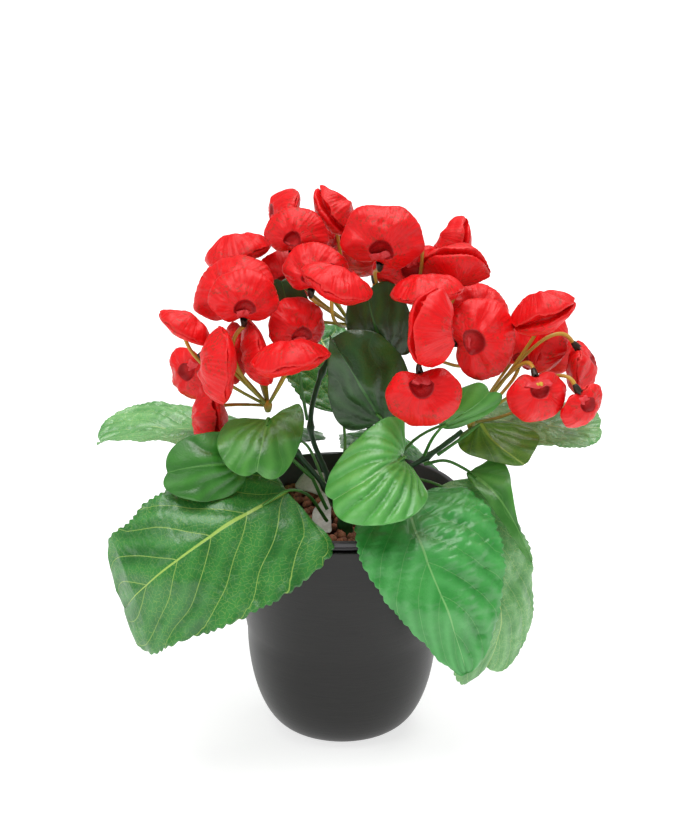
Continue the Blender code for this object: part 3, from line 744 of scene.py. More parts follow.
def pot_material(colour):
    # Matte fibre-clay composite, spun in a mould and left unglazed: fine level turning marks,
    # a chalky bloom in patches, and a broad soft gloss at grazing angles.
    made, tree, shader = new_material("fibre_clay_matte", colour, IOR=1.5, Specular_IOR_Level=0.36)
    place = add(tree, "ShaderNodeTexCoord").outputs["Object"]
    level = add(tree, "ShaderNodeMapping", None, {"Vector": place, "Scale": (0.06, 0.06, 1)})
    # Turning marks about 0.9 mm apart
    marks = add(
        tree,
        "ShaderNodeTexNoise",
        None,
        {"Vector": level.outputs[0], "Scale": 1100, "Detail": 3, "Roughness": 0.6},
    )
    # Grain of about 0.5 mm, a little coarser than the clay's, so that it shows
    grain = add(tree, "ShaderNodeTexNoise", None, {"Vector": place, "Scale": 2000, "Detail": 2})
    patches = add(tree, "ShaderNodeTexNoise", None, {"Vector": place, "Scale": 28, "Detail": 5})
    shade = add(
        tree,
        "ShaderNodeMapRange",
        None,
        {"Value": marks.outputs[0], "From Min": 0.3, "From Max": 0.7, "To Min": 0.82, "To Max": 1.2},
    )
    cloud = add(
        tree,
        "ShaderNodeMapRange",
        None,
        {"Value": patches.outputs[0], "From Min": 0.3, "From Max": 0.7, "To Min": 0.88, "To Max": 1.14},
    )
    both = add(
        tree,
        "ShaderNodeMath",
        {"operation": "MULTIPLY"},
        {0: shade.outputs[0], 1: cloud.outputs[0]},
    )
    tint = add(
        tree,
        "ShaderNodeVectorMath",
        {"operation": "SCALE"},
        {0: tuple(colour), "Scale": both.outputs[0]},
    )
    tree.links.new(tint.outputs[0], shader.inputs["Base Color"])
    rough = add(
        tree,
        "ShaderNodeMapRange",
        None,
        {"Value": patches.outputs[0], "From Min": 0.3, "From Max": 0.7, "To Min": 0.34, "To Max": 0.42},
    )
    tree.links.new(rough.outputs[0], shader.inputs["Roughness"])
    coarse = add(
        tree,
        "ShaderNodeBump",
        None,
        {"Height": marks.outputs[0], "Distance": 0.00012, "Strength": 0.5},
    )
    fine = add(
        tree,
        "ShaderNodeBump",
        None,
        {"Height": grain.outputs[0], "Distance": 0.00006, "Strength": 0.5, "Normal": coarse.outputs[0]},
    )
    tree.links.new(fine.outputs[0], shader.inputs["Normal"])
    return made


def liner_material(colour):
    # Injection-moulded polypropylene: satin, with a slight flow texture and dust-fine pits.
    made, tree, shader = new_material(
        "polypropylene_satin", colour, IOR=1.49, Roughness=0.36, Specular_IOR_Level=0.6
    )
    place = add(tree, "ShaderNodeTexCoord").outputs["Object"]
    level = add(tree, "ShaderNodeMapping", None, {"Vector": place, "Scale": (0.2, 0.2, 1)})
    flow = add(
        tree, "ShaderNodeTexNoise", None, {"Vector": level.outputs[0], "Scale": 350, "Detail": 3}
    )
    rough = add(
        tree,
        "ShaderNodeMapRange",
        None,
        {"Value": flow.outputs[0], "From Min": 0.3, "From Max": 0.7, "To Min": 0.3, "To Max": 0.42},
    )
    tree.links.new(rough.outputs[0], shader.inputs["Roughness"])
    pits = add(tree, "ShaderNodeTexNoise", None, {"Vector": place, "Scale": 1600})
    bump = add(
        tree,
        "ShaderNodeBump",
        None,
        {"Height": pits.outputs[0], "Distance": 0.00004, "Strength": 0.4},
    )
    tree.links.new(bump.outputs[0], shader.inputs["Normal"])
    tint = add(
        tree,
        "ShaderNodeMapRange",
        None,
        {"Value": flow.outputs[0], "From Min": 0.3, "From Max": 0.7, "To Min": 0.9, "To Max": 1.08},
    )
    shade = add(
        tree,
        "ShaderNodeVectorMath",
        {"operation": "SCALE"},
        {0: tuple(colour), "Scale": tint.outputs[0]},
    )
    tree.links.new(shade.outputs[0], shader.inputs["Base Color"])
    return made


def filling_material():
    # Pressed peat and foam crumb: dark, rough and without gloss.
    made, tree, shader = new_material("pressed_peat", linear("#2a1d14"), Roughness=0.95)
    place = add(tree, "ShaderNodeTexCoord").outputs["Object"]
    crumb = add(tree, "ShaderNodeTexNoise", None, {"Vector": place, "Scale": 420, "Detail": 6})
    mixed = add(
        tree,
        "ShaderNodeMix",
        {"data_type": "RGBA"},
        {0: crumb.outputs[0], 6: (*linear("#160e09"), 1), 7: (*linear("#4a3524"), 1)},
    )
    tree.links.new(mixed.outputs[2], shader.inputs["Base Color"])
    bump = add(
        tree, "ShaderNodeBump", None, {"Height": crumb.outputs[0], "Distance": 0.0006, "Strength": 1.0}
    )
    tree.links.new(bump.outputs[0], shader.inputs["Normal"])
    return made


class CALCEOLARIA_OT_pot(bpy.types.Operator):
    """Make the outer pot, its hung liner and the finish of the filling"""

    bl_idname = "calceolaria.pot"
    bl_label = "Pot and liner"

    def execute(self, context):
        settings = context.scene.calceolaria_pot
        tree = turning_tree()
        outer = pot_outline(0, 0, 24)
        inner = pot_outline(POT_WALL, POT_WALL, 24)
        outline = [(0, 0), *outer, *reversed(inner), (0, POT_WALL)]
        rim = len(outer)
        outline = eased(outline, {1, rim, rim + 1}, 1.1)
        pot = turned("outer_pot", outline, settings, pot_material(settings.pot_colour), tree)
        finish_piece(pot, "pot", "pot")

        collar = POT_TOP + GAP
        lip = LINER_TOP - LIP_HEIGHT
        foot = CORNER_HEIGHT
        outline = [
            (0, foot),
            (liner_radius(foot), foot),
            (liner_radius(collar) - GAP, collar),
            (POT_RADIUS - GROOVE_INSET, collar),
            (POT_RADIUS - GROOVE_INSET, lip),
            (LINER_RADIUS, lip),
            (LINER_RADIUS, LINER_TOP),
            (LINER_RADIUS - LIP_WIDTH, LINER_TOP),
            (inner_radius(FILL_TOP), FILL_TOP),
            (inner_radius(foot), foot + LINER_FLOOR),
            (0, foot + LINER_FLOOR),
        ]
        outline = eased(outline, {1, 3, 5, 6, 7, 9}, 0.9)
        liner = turned(
            "hung_liner", outline, settings, liner_material(settings.liner_colour), tree
        )
        finish_piece(liner, "liner", "liner")

        finish = filling_material()
        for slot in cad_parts["filling"].material_slots:
            slot.material = finish
        return {"FINISHED"}


# Pebbles


def pebble_tree():
    """Strews rounded stones over a disc in layers."""
    tree, given = new_tree(
        "strewn_pebbles",
        {
            "Bed Radius": "Float",
            "Bed Height": "Float",
            "Pebble Size": "Float",
            "Layer Rise": "Float",
            "Seed": "Int",
            "Finish": "Material",
        },
    )
    stone = add(
        tree,
        "GeometryNodeMeshCube",
        None,
        {"Size": (1, 1, 1), "Vertices X": 3, "Vertices Y": 3, "Vertices Z": 3},
    )
    place = add(tree, "GeometryNodeInputPosition")
    ball = add(tree, "ShaderNodeVectorMath", {"operation": "NORMALIZE"}, {0: place.outputs[0]})
    sized = add(
        tree, "ShaderNodeVectorMath", {"operation": "SCALE"}, {0: ball.outputs[0], "Scale": 0.5}
    )
    round_stone = add(
        tree,
        "GeometryNodeSetPosition",
        None,
        {"Geometry": stone.outputs[0], "Position": sized.outputs[0]},
    )
    gathered = add(tree, "GeometryNodeJoinGeometry")
    for layer in range(2):
        disc = add(
            tree,
            "GeometryNodeMeshCircle",
            {"fill_type": "NGON"},
            {"Vertices": 64, "Radius": given["Bed Radius"]},
        )
        spacing = add(
            tree, "ShaderNodeMath", {"operation": "MULTIPLY"}, {0: given["Pebble Size"], 1: 0.86}
        )
        seed = add(tree, "ShaderNodeMath", {"operation": "ADD"}, {0: given["Seed"], 1: float(layer)})
        strewn = add(
            tree,
            "GeometryNodeDistributePointsOnFaces",
            {"distribute_method": "POISSON"},
            {
                "Mesh": disc.outputs[0],
                "Distance Min": spacing.outputs[0],
                "Density Max": 90000.0,
                "Seed": seed.outputs[0],
            },
        )
        rise = add(
            tree,
            "ShaderNodeMath",
            {"operation": "MULTIPLY_ADD"},
            {0: given["Layer Rise"], 1: float(layer), 2: given["Bed Height"]},
        )
        jitter = add(
            tree,
            "FunctionNodeRandomValue",
            {"data_type": "FLOAT"},
            {2: -0.0009, 3: 0.0009, "Seed": seed.outputs[0]},
        )
        height = add(
            tree, "ShaderNodeMath", {"operation": "ADD"}, {0: rise.outputs[0], 1: jitter.outputs[1]}
        )
        up = add(tree, "ShaderNodeCombineXYZ", None, {"Z": height.outputs[0]})
        lifted = add(
            tree,
            "GeometryNodeSetPosition",
            None,
            {"Geometry": strewn.outputs[0], "Offset": up.outputs[0]},
        )
        turn = add(
            tree,
            "FunctionNodeRandomValue",
            {"data_type": "FLOAT_VECTOR"},
            {0: (0, 0, 0), 1: (6.28, 6.28, 6.28), "Seed": seed.outputs[0]},
        )
        stretch = add(
            tree,
            "FunctionNodeRandomValue",
            {"data_type": "FLOAT_VECTOR"},
            {0: (0.85, 0.82, 0.8), 1: (1.12, 1.06, 1.02), "Seed": seed.outputs[0]},
        )
        scaled = add(
            tree,
            "ShaderNodeVectorMath",
            {"operation": "SCALE"},
            {0: stretch.outputs[0], "Scale": given["Pebble Size"]},
        )
        set_out = add(
            tree,
            "GeometryNodeInstanceOnPoints",
            None,
            {
                "Points": lifted.outputs[0],
                "Instance": round_stone.outputs[0],
                "Rotation": turn.outputs[0],
                "Scale": scaled.outputs[0],
            },
        )
        tree.links.new(set_out.outputs[0], gathered.inputs[0])
    real = add(tree, "GeometryNodeRealizeInstances", None, {"Geometry": gathered.outputs[0]})
    # Each stone's own lumps, about 4 mm apart
    lumps = add(tree, "ShaderNodeTexNoise", None, {"Scale": 260.0, "Detail": 1.0})
    centred = add(
        tree,
        "ShaderNodeVectorMath",
        {"operation": "SUBTRACT"},
        {0: lumps.outputs["Color"], 1: (0.5, 0.5, 0.5)},
    )
    push = add(
        tree,
        "ShaderNodeVectorMath",
        {"operation": "SCALE"},
        {0: centred.outputs[0], "Scale": 0.0014},
    )
    moved = add(
        tree, "GeometryNodeSetPosition", None, {"Geometry": real.outputs[0], "Offset": push.outputs[0]}
    )
    smooth = add(tree, "GeometryNodeSetShadeSmooth", None, {"Geometry": moved.outputs[0]})
    close_tree(tree, smooth.outputs[0], given["Finish"])
    return tree


def pebble_material(colour):
    # Expanded fired clay: brown-red, dry and open-grained, each stone a little off its neighbour.
    made, tree, shader = new_material("fired_clay", colour, Roughness=0.88, IOR=1.5)
    place = add(tree, "ShaderNodeTexCoord").outputs["Object"]
    # Stones are about 7 mm, so a cell of that size gives each its own tone
    cells = add(tree, "ShaderNodeTexVoronoi", None, {"Vector": place, "Scale": 140})
    tone = add(
        tree,
        "ShaderNodeMapRange",
        None,
        {"Value": cells.outputs["Color"], "To Min": 0.55, "To Max": 1.45},
    )
    grain = add(tree, "ShaderNodeTexNoise", None, {"Vector": place, "Scale": 900, "Detail": 5})
    spot = add(
        tree,
        "ShaderNodeMapRange",
        None,
        {"Value": grain.outputs[0], "From Min": 0.35, "From Max": 0.65, "To Min": 0.7, "To Max": 1.25},
    )
    both = add(
        tree, "ShaderNodeMath", {"operation": "MULTIPLY"}, {0: tone.outputs[0], 1: spot.outputs[0]}
    )
    tint = add(
        tree,
        "ShaderNodeVectorMath",
        {"operation": "SCALE"},
        {0: tuple(colour), "Scale": both.outputs[0]},
    )
    tree.links.new(tint.outputs[0], shader.inputs["Base Color"])
    bump = add(
        tree, "ShaderNodeBump", None, {"Height": grain.outputs[0], "Distance": 0.0004, "Strength": 0.9}
    )
    tree.links.new(bump.outputs[0], shader.inputs["Normal"])
    return made


class CALCEOLARIA_OT_pebbles(bpy.types.Operator):
    """Strew the clay pebbles over the filling"""

    bl_idname = "calceolaria.pebbles"
    bl_label = "Pebbles"

    def execute(self, context):
        settings = context.scene.calceolaria_pot
        size = settings.pebble_size
        sizes = {
            "Bed Radius": inner_radius(FILL_TOP) * MM - size * 0.62,
            "Bed Height": (FILL_TOP + GAP) * MM + size * 0.28,
            "Pebble Size": size,
            "Layer Rise": size * 0.36,
            "Seed": 5,
            "Finish": pebble_material(settings.pebble_colour),
        }
        bed = grow(curve_object("clay_pebbles", []), pebble_tree(), sizes)
        finish_piece(bed, "pebbles", "pebbles")
        return {"FINISHED"}


# Card strap


class CALCEOLARIA_OT_card(bpy.types.Operator):
    """Make the blank card strap that lies on the pebbles against the trunk"""

    bl_idname = "calceolaria.card"
    bl_label = "Card strap"

    def execute(self, context):
        low = np.array(curve_through([edge[0] for edge in CARD_EDGES], 14))
        high = np.array(curve_through([edge[1] for edge in CARD_EDGES], 14))
        v = np.linspace(-1, 1, 13)[None, :, None]
        t = np.linspace(0, 1, len(low))[:, None, None]
        # Round the corners over the last twelfth, and cup the strip across
        end = np.clip(1 - np.abs(2 * t - 1), 0, 0.08) / 0.08
        half = 0.5 * (0.75 + 0.25 * np.sqrt(1 - (1 - end) ** 2))
        centre = (low + high)[:, None] / 2
        wide = (high - low)[:, None]
        up = unit(np.cross((0.0, -1.0, 0.0), wide))
        middle = centre + wide * v * half + up * (0.4 + 0.5 * (1 - v**2))
        thick = up * 0.2
        top, below = middle + thick, middle - thick
        points, faces = closed_sheet(top, below)
        # Blank coated card: grey-white, faintly fibrous, with no printing.
        made, tree, shader = new_material("blank_coated_card", linear("#c3c4bf"), Roughness=0.5)
        place = add(tree, "ShaderNodeTexCoord").outputs["Object"]
        fibres = add(tree, "ShaderNodeTexNoise", None, {"Vector": place, "Scale": 700, "Detail": 6})
        tint = add(
            tree,
            "ShaderNodeMix",
            {"data_type": "RGBA"},
            {0: fibres.outputs[0], 6: (*linear("#a9aaa4"), 1), 7: (*linear("#dcdcd6"), 1)},
        )
        tree.links.new(tint.outputs[2], shader.inputs["Base Color"])
        bump = add(
            tree, "ShaderNodeBump", None, {"Height": fibres.outputs[0], "Distance": 0.00005}
        )
        tree.links.new(bump.outputs[0], shader.inputs["Normal"])
        strap = mesh_object("blank_card", points, faces, [made])
        finish_piece(strap, "card", "card_strap")
        return {"FINISHED"}


def closed_sheet(top, below):
    """Points and faces of a thin sheet from two grids, rows along it and columns left to right."""
    rows, columns = top.shape[:2]
    ring = np.concatenate([top, below[:, ::-1]], axis=1)
    count = 2 * columns
    a = (np.arange(rows - 1)[:, None] * count + np.arange(count)[None, :]).ravel()
    b = (np.arange(rows - 1)[:, None] * count + (np.arange(count)[None, :] + 1) % count).ravel()
    faces = np.stack([a, b, b + count, a + count], axis=1)
    ends = []
    for j in range(columns - 1):
        far = (rows - 1) * count
        ends.append((j + 1, j, count - 1 - j, count - 2 - j))
        ends.append((far + j, far + j + 1, far + count - 2 - j, far + count - 1 - j))
    return ring.reshape(-1, 3), np.concatenate([faces, np.array(ends)])


# Stems and flower stalks


def rod_tree():
    """Round rods along the input's splines, as thick as the points' radii."""
    tree, given = new_tree(
        "moulded_rods",
        {"Sides": "Int", "Lump Height": "Float", "Lump Size": "Float", "Finish": "Material"},
    )
    share = add(tree, "GeometryNodeSplineParameter")
    marked = add(
        tree,
        "GeometryNodeStoreNamedAttribute",
        {"data_type": "FLOAT", "domain": "POINT"},
        {"Geometry": given["Geometry"], "Name": "along", "Value": share.outputs["Factor"]},
    )
    ring = add(
        tree,
        "GeometryNodeCurvePrimitiveCircle",
        None,
        {"Resolution": given["Sides"], "Radius": 1.0},
    )
    radius = add(tree, "GeometryNodeInputRadius")
    rods = add(
        tree,
        "GeometryNodeCurveToMesh",
        None,
        {0: marked.outputs[0], 1: ring.outputs[0], "Scale": radius.outputs[0], "Fill Caps": True},
    )
    place = add(tree, "GeometryNodeInputPosition")
    spacing = add(
        tree, "ShaderNodeMath", {"operation": "DIVIDE"}, {0: 1.0, 1: given["Lump Size"]}
    )
    noise = add(
        tree, "ShaderNodeTexNoise", None, {"Vector": place.outputs[0], "Scale": spacing.outputs[0]}
    )
    centred = add(tree, "ShaderNodeMath", {"operation": "SUBTRACT"}, {0: noise.outputs[0], 1: 0.5})
    height = add(
        tree,
        "ShaderNodeMath",
        {"operation": "MULTIPLY"},
        {0: centred.outputs[0], 1: given["Lump Height"]},
    )
    normal = add(tree, "GeometryNodeInputNormal")
    push = add(
        tree,
        "ShaderNodeVectorMath",
        {"operation": "SCALE"},
        {0: normal.outputs[0], "Scale": height.outputs[0]},
    )
    moved = add(
        tree, "GeometryNodeSetPosition", None, {"Geometry": rods.outputs[0], "Offset": push.outputs[0]}
    )
    smooth = add(tree, "GeometryNodeSetShadeSmooth", None, {"Geometry": moved.outputs[0]})
    close_tree(tree, smooth.outputs[0], given["Finish"])
    return tree


def rods(name, splines, finish, tree, sides=10, lumps=0.0003):
    """Rods along splines of (point, radius) in millimetres."""
    rows = [
        [(tuple(np.asarray(point, float) * MM), radius * MM) for point, radius in row]
        for row in splines
    ]
    sizes = {"Sides": sides, "Lump Height": lumps, "Lump Size": 0.004, "Finish": finish}
    return grow(curve_object(name, rows), tree, sizes)


def plastic_material(name, low, high):
    # Injection-moulded polyethylene: soft satin, its colour sprayed on and turning along the rod.
    made, tree, shader = new_material(name, low, IOR=1.5, Roughness=0.42, Specular_IOR_Level=0.5)
    place = add(tree, "ShaderNodeTexCoord").outputs["Object"]
    along = add(tree, "ShaderNodeAttribute", {"attribute_name": "along"})
    spray = add(tree, "ShaderNodeTexNoise", None, {"Vector": place, "Scale": 160, "Detail": 3})
    mixed = add(
        tree,
        "ShaderNodeMath",
        {"operation": "MULTIPLY_ADD"},
        {0: spray.outputs[0], 1: 0.5, 2: -0.25},
    )
    turn = add(
        tree,
        "ShaderNodeMath",
        {"operation": "ADD", "use_clamp": True},
        {0: along.outputs["Fac"], 1: mixed.outputs[0]},
    )
    tint = add(
        tree,
        "ShaderNodeMix",
        {"data_type": "RGBA"},
        {0: turn.outputs[0], 6: (*low, 1), 7: (*high, 1)},
    )
    tree.links.new(tint.outputs[2], shader.inputs["Base Color"])
    bump = add(
        tree, "ShaderNodeBump", None, {"Height": spray.outputs[0], "Distance": 0.0002, "Strength": 0.5}
    )
    tree.links.new(bump.outputs[0], shader.inputs["Normal"])
    return made


class CALCEOLARIA_OT_stems(bpy.types.Operator):
    """Make the trunk and its four stems, with a knuckle at every bend"""

    bl_idname = "calceolaria.stems"
    bl_label = "Stems"

    def execute(self, context):
        settings = context.scene.calceolaria_stems
        thin = settings.stem_radius / MM
        splines = []
        foot, fork = np.array(TRUNK_FOOT, float), np.array(TRUNK_FORK, float)
        trunk = []
        for t in np.linspace(0, 1, 40):
            radius = 5.9 - 1.7 * max(t - 0.6, 0) / 0.4 + 0.25 * math.sin(t * 60)
            trunk.append((foot + (fork - foot) * t, radius))
        splines.append(trunk)
        for bends in STEMS.values():
            path = curve_through([STEM_ROOT, *bends], 14)
            row = []
            for point in path:
                near = min(np.linalg.norm(point - np.array(bend)) for bend in bends[:-1])
                row.append((point, thin + 1.0 * math.exp(-((near / 2.6) ** 2))))
            splines.append(row)
        finish = plastic_material(
            "polyethylene_stem", tuple(settings.stem_colour), linear("#1c4a20")
        )
        stems = rods("trunk_and_stems", splines, finish, rod_tree(), sides=14, lumps=0.0006)
        finish_piece(stems, "stem", "stems")
        return {"FINISHED"}


def facing(azimuth, elevation, roll):
    """A bloom's side, pouch and out directions."""
    azimuth, elevation, roll = (math.radians(v) for v in (azimuth, elevation, roll))
    out = np.array(
        (
            math.sin(azimuth) * math.cos(elevation),
            -math.cos(azimuth) * math.cos(elevation),
            math.sin(elevation),
        )
    )
    up = np.array((0.0, 0.0, 1.0))
    up = unit(up - out * (up @ out))
    right = np.cross(up, out)
    pouch = up * math.cos(roll) + right * math.sin(roll)
    side = right * math.cos(roll) - up * math.sin(roll)
    return side, pouch, out


def bump(turn, place, width):
    apart = (turn - place + 180) % 360 - 180
    return np.exp(-((apart / width) ** 2))


def rim_radius(turn, width):
    """The kidney outline, with a notch at -90 degrees and a drawn-out corner each side."""
    angle = np.radians(turn)
    flat = 1 / np.hypot(np.cos(angle) / 0.48, np.sin(angle) / HALF_HEIGHT)
    notch = 1 - 0.30 * bump(turn, -90, 26)
    corners = 1 + 0.07 * (bump(turn, -12, 13) + bump(turn, 192, 13))
    return width * flat * notch * corners


def calyx_seat(place, azimuth, elevation, roll, width):
    _, pouch, out = facing(azimuth, elevation, roll)
    seat = np.array(place, float) - pouch * (rim_radius(-90, width) + 2 * GAP) - out * GAP
    return seat, unit(-pouch * 0.8 - out * 0.6)


def calyx_rings(seat, way):
    """A small cup of four pointed sepals, opening towards the bloom."""
    side = unit(np.cross(way, (0.3, 0.2, 1.0)))
    other = np.cross(way, side)
    turns = np.arange(16) * 2 * math.pi / 16
    lobes = np.abs(np.cos(2 * turns)) ** 1.5
    profile = (
        (5.4, 1.1, 0.0),
        (4.6, 1.5, 0.0),
        (3.4, 1.9, 0.1),
        (2.0, 2.2, 0.3),
        (0.8, 2.4, 0.9),
        (0.1, 2.45, 1.7),
        (0.2, 2.1, 1.6),
        (1.0, 1.7, 0.4),
        (2.0, 1.2, 0.0),
    )
    rings = []
    for back, radius, lobe in profile:
        reach = radius * (1 - 0.10 * (1 - lobes) * (lobe > 0.2))
        centre = seat + way * back
        ring = centre + np.outer(reach * np.cos(turns), side) + np.outer(reach * np.sin(turns), other)
        ring = ring - np.outer(lobes * lobe, way)
        rings.append(ring)
    return seat + way * 5.8, rings, seat + way * 2.4


def ring_faces(count, rings, start=0):
    """Faces of rings of points listed after a first point and before a last one."""
    faces = []
    for k in range(rings - 1):
        a = start + 1 + k * count
        for i in range(count):
            j = (i + 1) % count
            faces.append((a + i, a + j, a + count + j, a + count + i))
    end = start + 1 + rings * count
    caps = []
    for i in range(count):
        j = (i + 1) % count
        caps.append((start, start + 1 + j, start + 1 + i))
        caps.append((end, end - count + i, end - count + j))
    return faces, caps


class CALCEOLARIA_OT_sprays(bpy.types.Operator):
    """Make the four sprays of flower stalks, each stalk ending in a calyx"""

    bl_idname = "calceolaria.sprays"
    bl_label = "Flower stalks"

    def execute(self, context):
        settings = context.scene.calceolaria_stems
        thin = settings.stalk_radius / MM
        tree = rod_tree()
        finish = plastic_material(
            "polyethylene_stalk", tuple(settings.stalk_colour), tuple(settings.stalk_tip_colour)
        )
        cup = plastic_material("polyethylene_calyx", linear("#2a2010"), linear("#3a3a14"))
        for spray, centre in HUBS.items():
            hub = np.array(centre, float)
            knob = [
                (hub + np.array((0, 0, h)), r)
                for h, r in ((-4, 1.6), (-3, 2.0), (-1.2, 2.5), (0.5, 2.7), (2, 2.2), (3.4, 1.2))
            ]
            splines = [knob]
            points, faces = [], []
            for name, row in BLOOMS.items():
                if row[0] != spray:
                    continue
                seat, way = calyx_seat(*row[1:6])
                foot = seat + way * CALYX_LENGTH
                reach = np.linalg.norm(foot - hub)
                bend = foot + way * reach * 0.3 + np.array(STALK_OFFSETS.get(name, (0, 0, 0)))
                stalk = []
                for t in np.linspace(0, 1, 22):
                    start = hub + (bend - hub) * t
                    point = start + (bend + (foot - bend) * t - start) * t
                    stalk.append((point, thin * (1.0 + 0.35 * t**2)))
                splines.append(stalk)
                first, rings, last = calyx_rings(seat, way)
                quads, caps = ring_faces(16, len(rings), len(points))
                points.extend([first, *np.concatenate(rings), last])
                faces.extend(quads + caps)
            stalks = rods("flower_stalks_" + spray, splines, finish, tree, sides=8)
            mesh = bpy.data.meshes.new("cups")
            mesh.from_pydata((np.array(points) * MM).tolist(), [], faces)
            mesh.materials.append(cup)
            mesh.shade_smooth()
            cups = bpy.data.objects.new("cups", mesh)
            context.scene.collection.objects.link(cups)
            face_outwards(cups)
            join(stalks, [cups])
            finish_piece(stalks, "stalk", "spray_" + spray)
        return {"FINISHED"}


# Leaves


def along_rib(rib, t):
    """Points at t on the cubic that passes four points at 0, 1/3, 2/3 and 1."""
    nodes = (0, 1 / 3, 2 / 3, 1)
    total = np.zeros(np.shape(t) + (3,))
    for i, point in enumerate(rib):
        weight = np.ones_like(t)
        for j, node in enumerate(nodes):
            if j != i:
                weight = weight * (t - node) / (nodes[i] - node)
        total += weight[..., None] * np.array(point, float)
    return total


def width_share(shape, t):
    corners = 1 + shape["square"] * np.exp(-(((t - 0.93) / 0.1) ** 2))
    return np.clip(4 * t * (1 - t), 0, None) ** shape["power"] * (1.06 - 0.12 * t) * corners


def blade(shape, t, v):
    """Points of the plain blade at t along the rib and v from -1, its left edge, to 1."""
    rib = along_rib(shape["rib"], t)
    ahead = along_rib(shape["rib"], np.minimum(t + 0.01, 1.0))
    behind = along_rib(shape["rib"], np.maximum(t - 0.01, 0.0))
    way = unit(ahead - behind)
    point = rib.copy()
    for sign, edges in ((-1, shape["left"]), (1, shape["right"])):
        spans = []
        for node, edge in zip((1 / 3, 2 / 3), edges):
            here = np.array(node)
            reach = np.array(edge, float) - along_rib(shape["rib"], here)
            spans.append(reach / width_share(shape, here))
        span = spans[0] + (3 * t - 1)[..., None] * (spans[1] - spans[0])
        side = np.clip(v * sign, 0, None)
        point = point + span * (width_share(shape, t) * side)[..., None]
    lobe = shape["lobe"] * np.abs(v) ** 1.5 * (1 - t) ** 4 * np.minimum(t * 8, 1)
    return point - way * lobe[..., None]


def leaf_blade(name, shape, settings, finishes):
    """A thin closed blade with toothed edges, sunken veins and puckers between them."""
    large = shape["toothed"]
    rows, columns = (190, 46) if large else (64, 44)
    t, v = np.meshgrid(
        0.35 * (0.5 - 0.5 * np.cos(np.linspace(0, math.pi, rows + 1)))
        + 0.65 * np.linspace(0, 1, rows + 1),
        np.sin(np.linspace(-math.pi / 2, math.pi / 2, columns + 1)) * 0.35
        + np.linspace(-1, 1, columns + 1) * 0.65,
        indexing="ij",
    )
    seed = seed_of(name)
    plain = blade(shape, t, v)
    rib = blade(shape, t, np.zeros_like(v))
    out = np.linalg.norm(plain - rib, axis=-1)
    length = np.sum(np.linalg.norm(np.diff(rib[:, 0], axis=0), axis=-1))
    # Saw teeth that lean towards the tip draw in only the margin
    beat = np.mod(settings.teeth * t + 0.5 * waves(plain, 26, seed), 1)
    depth = 0.034 if large else 0.0
    cut = depth * (1 - np.sin(math.pi * beat**1.7) ** 0.7) * np.abs(v) ** 10 * np.clip(8 * t, 0, 1)
    cut += 0.012 * waves(plain, 15, seed + 7) * np.abs(v) ** 6
    points = blade(shape, t, v * (1 - cut))
    run = np.gradient(points, axis=0)
    across = np.gradient(points, axis=1)
    normal = np.cross(across, run)
    normal[0], normal[-1] = normal[1], normal[-2]
    normal = unit(normal)
    fade = np.clip(4 * t * (1 - t), 0, 1) ** 0.5 * (1 - 0.5 * np.abs(v) ** 6)
    fan = np.arctan2(np.sign(v) * out, t * length + 2.0)
    if large:
        slant = (0.58 - 0.2 * t) * np.abs(v) ** 1.1
        phase = settings.side_veins * (t - slant) + 0.15 * waves(plain, 40, seed + 1) * np.abs(v)
    else:
        phase = shape["folds"] * fan + 0.12 * waves(plain, 22, seed + 1)
    cell = np.abs(np.sin(math.pi * phase))
    # Pillows between the small veins: rounded where the noise is high, creased where it is nil
    pillow = np.abs(waves(plain * (1, 1, 0.8), 15, seed + 2)) ** 0.7 + 0.5 * np.abs(
        waves(plain, 8, seed + 5)
    )
    left, right = shape["pucker"]
    height = np.where(v < 0, left, right)
    height = height + (left + right - 2 * height) / 2 * np.exp(-((out / 6) ** 2))
    if large:
        relief = height * fade * (1.5 * cell**0.55 + 0.9 * (pillow - 0.7) * np.clip(out / 8, 0, 1))
        relief -= 1.0 * np.exp(-((out / 1.6) ** 2))
        relief += 1.3 * waves(plain, 42, seed + 3) * fade
        relief += 1.0 * waves(plain, 16, seed + 4) * np.abs(v) ** 4
        relief -= np.clip(t - 0.88, 0, 1) * length * shape["fold"]
    else:
        away = np.hypot(t * length, out) / length
        relief = height * fade * np.clip(4 * away, 0, 1) * (1.5 * cell**0.7 + 0.25 * pillow)
        relief -= 0.7 * np.exp(-((out / 2.4) ** 2)) * (1 - t)
        relief += 0.8 * waves(plain, 30, seed + 3) * fade
        relief += 0.5 * waves(plain, 13, seed + 4) * np.abs(v) ** 4
    middle = points + normal * (relief[..., None] - 0.5)
    half = settings.thickness / MM / 2
    top, below = middle + normal * half, middle - normal * half
    sheet, faces = closed_sheet(top, below)
    girth = shape["girth"] * (1 - t) ** 1.4 + 0.28
    vein_map = np.stack([phase, out / girth], axis=-1)
    # One unit of the size map is 100 mm
    size_map = np.stack([t * length, np.sign(v) * out], axis=-1) * 0.01
    maps = {}
    for key, values in (("veins", vein_map), ("size", size_map)):
        maps[key] = np.concatenate([values, values[:, ::-1]], axis=1).reshape(-1, 2)
    return mesh_object("fabric_" + name, sheet, faces, [finishes[shape["print"]]], maps)
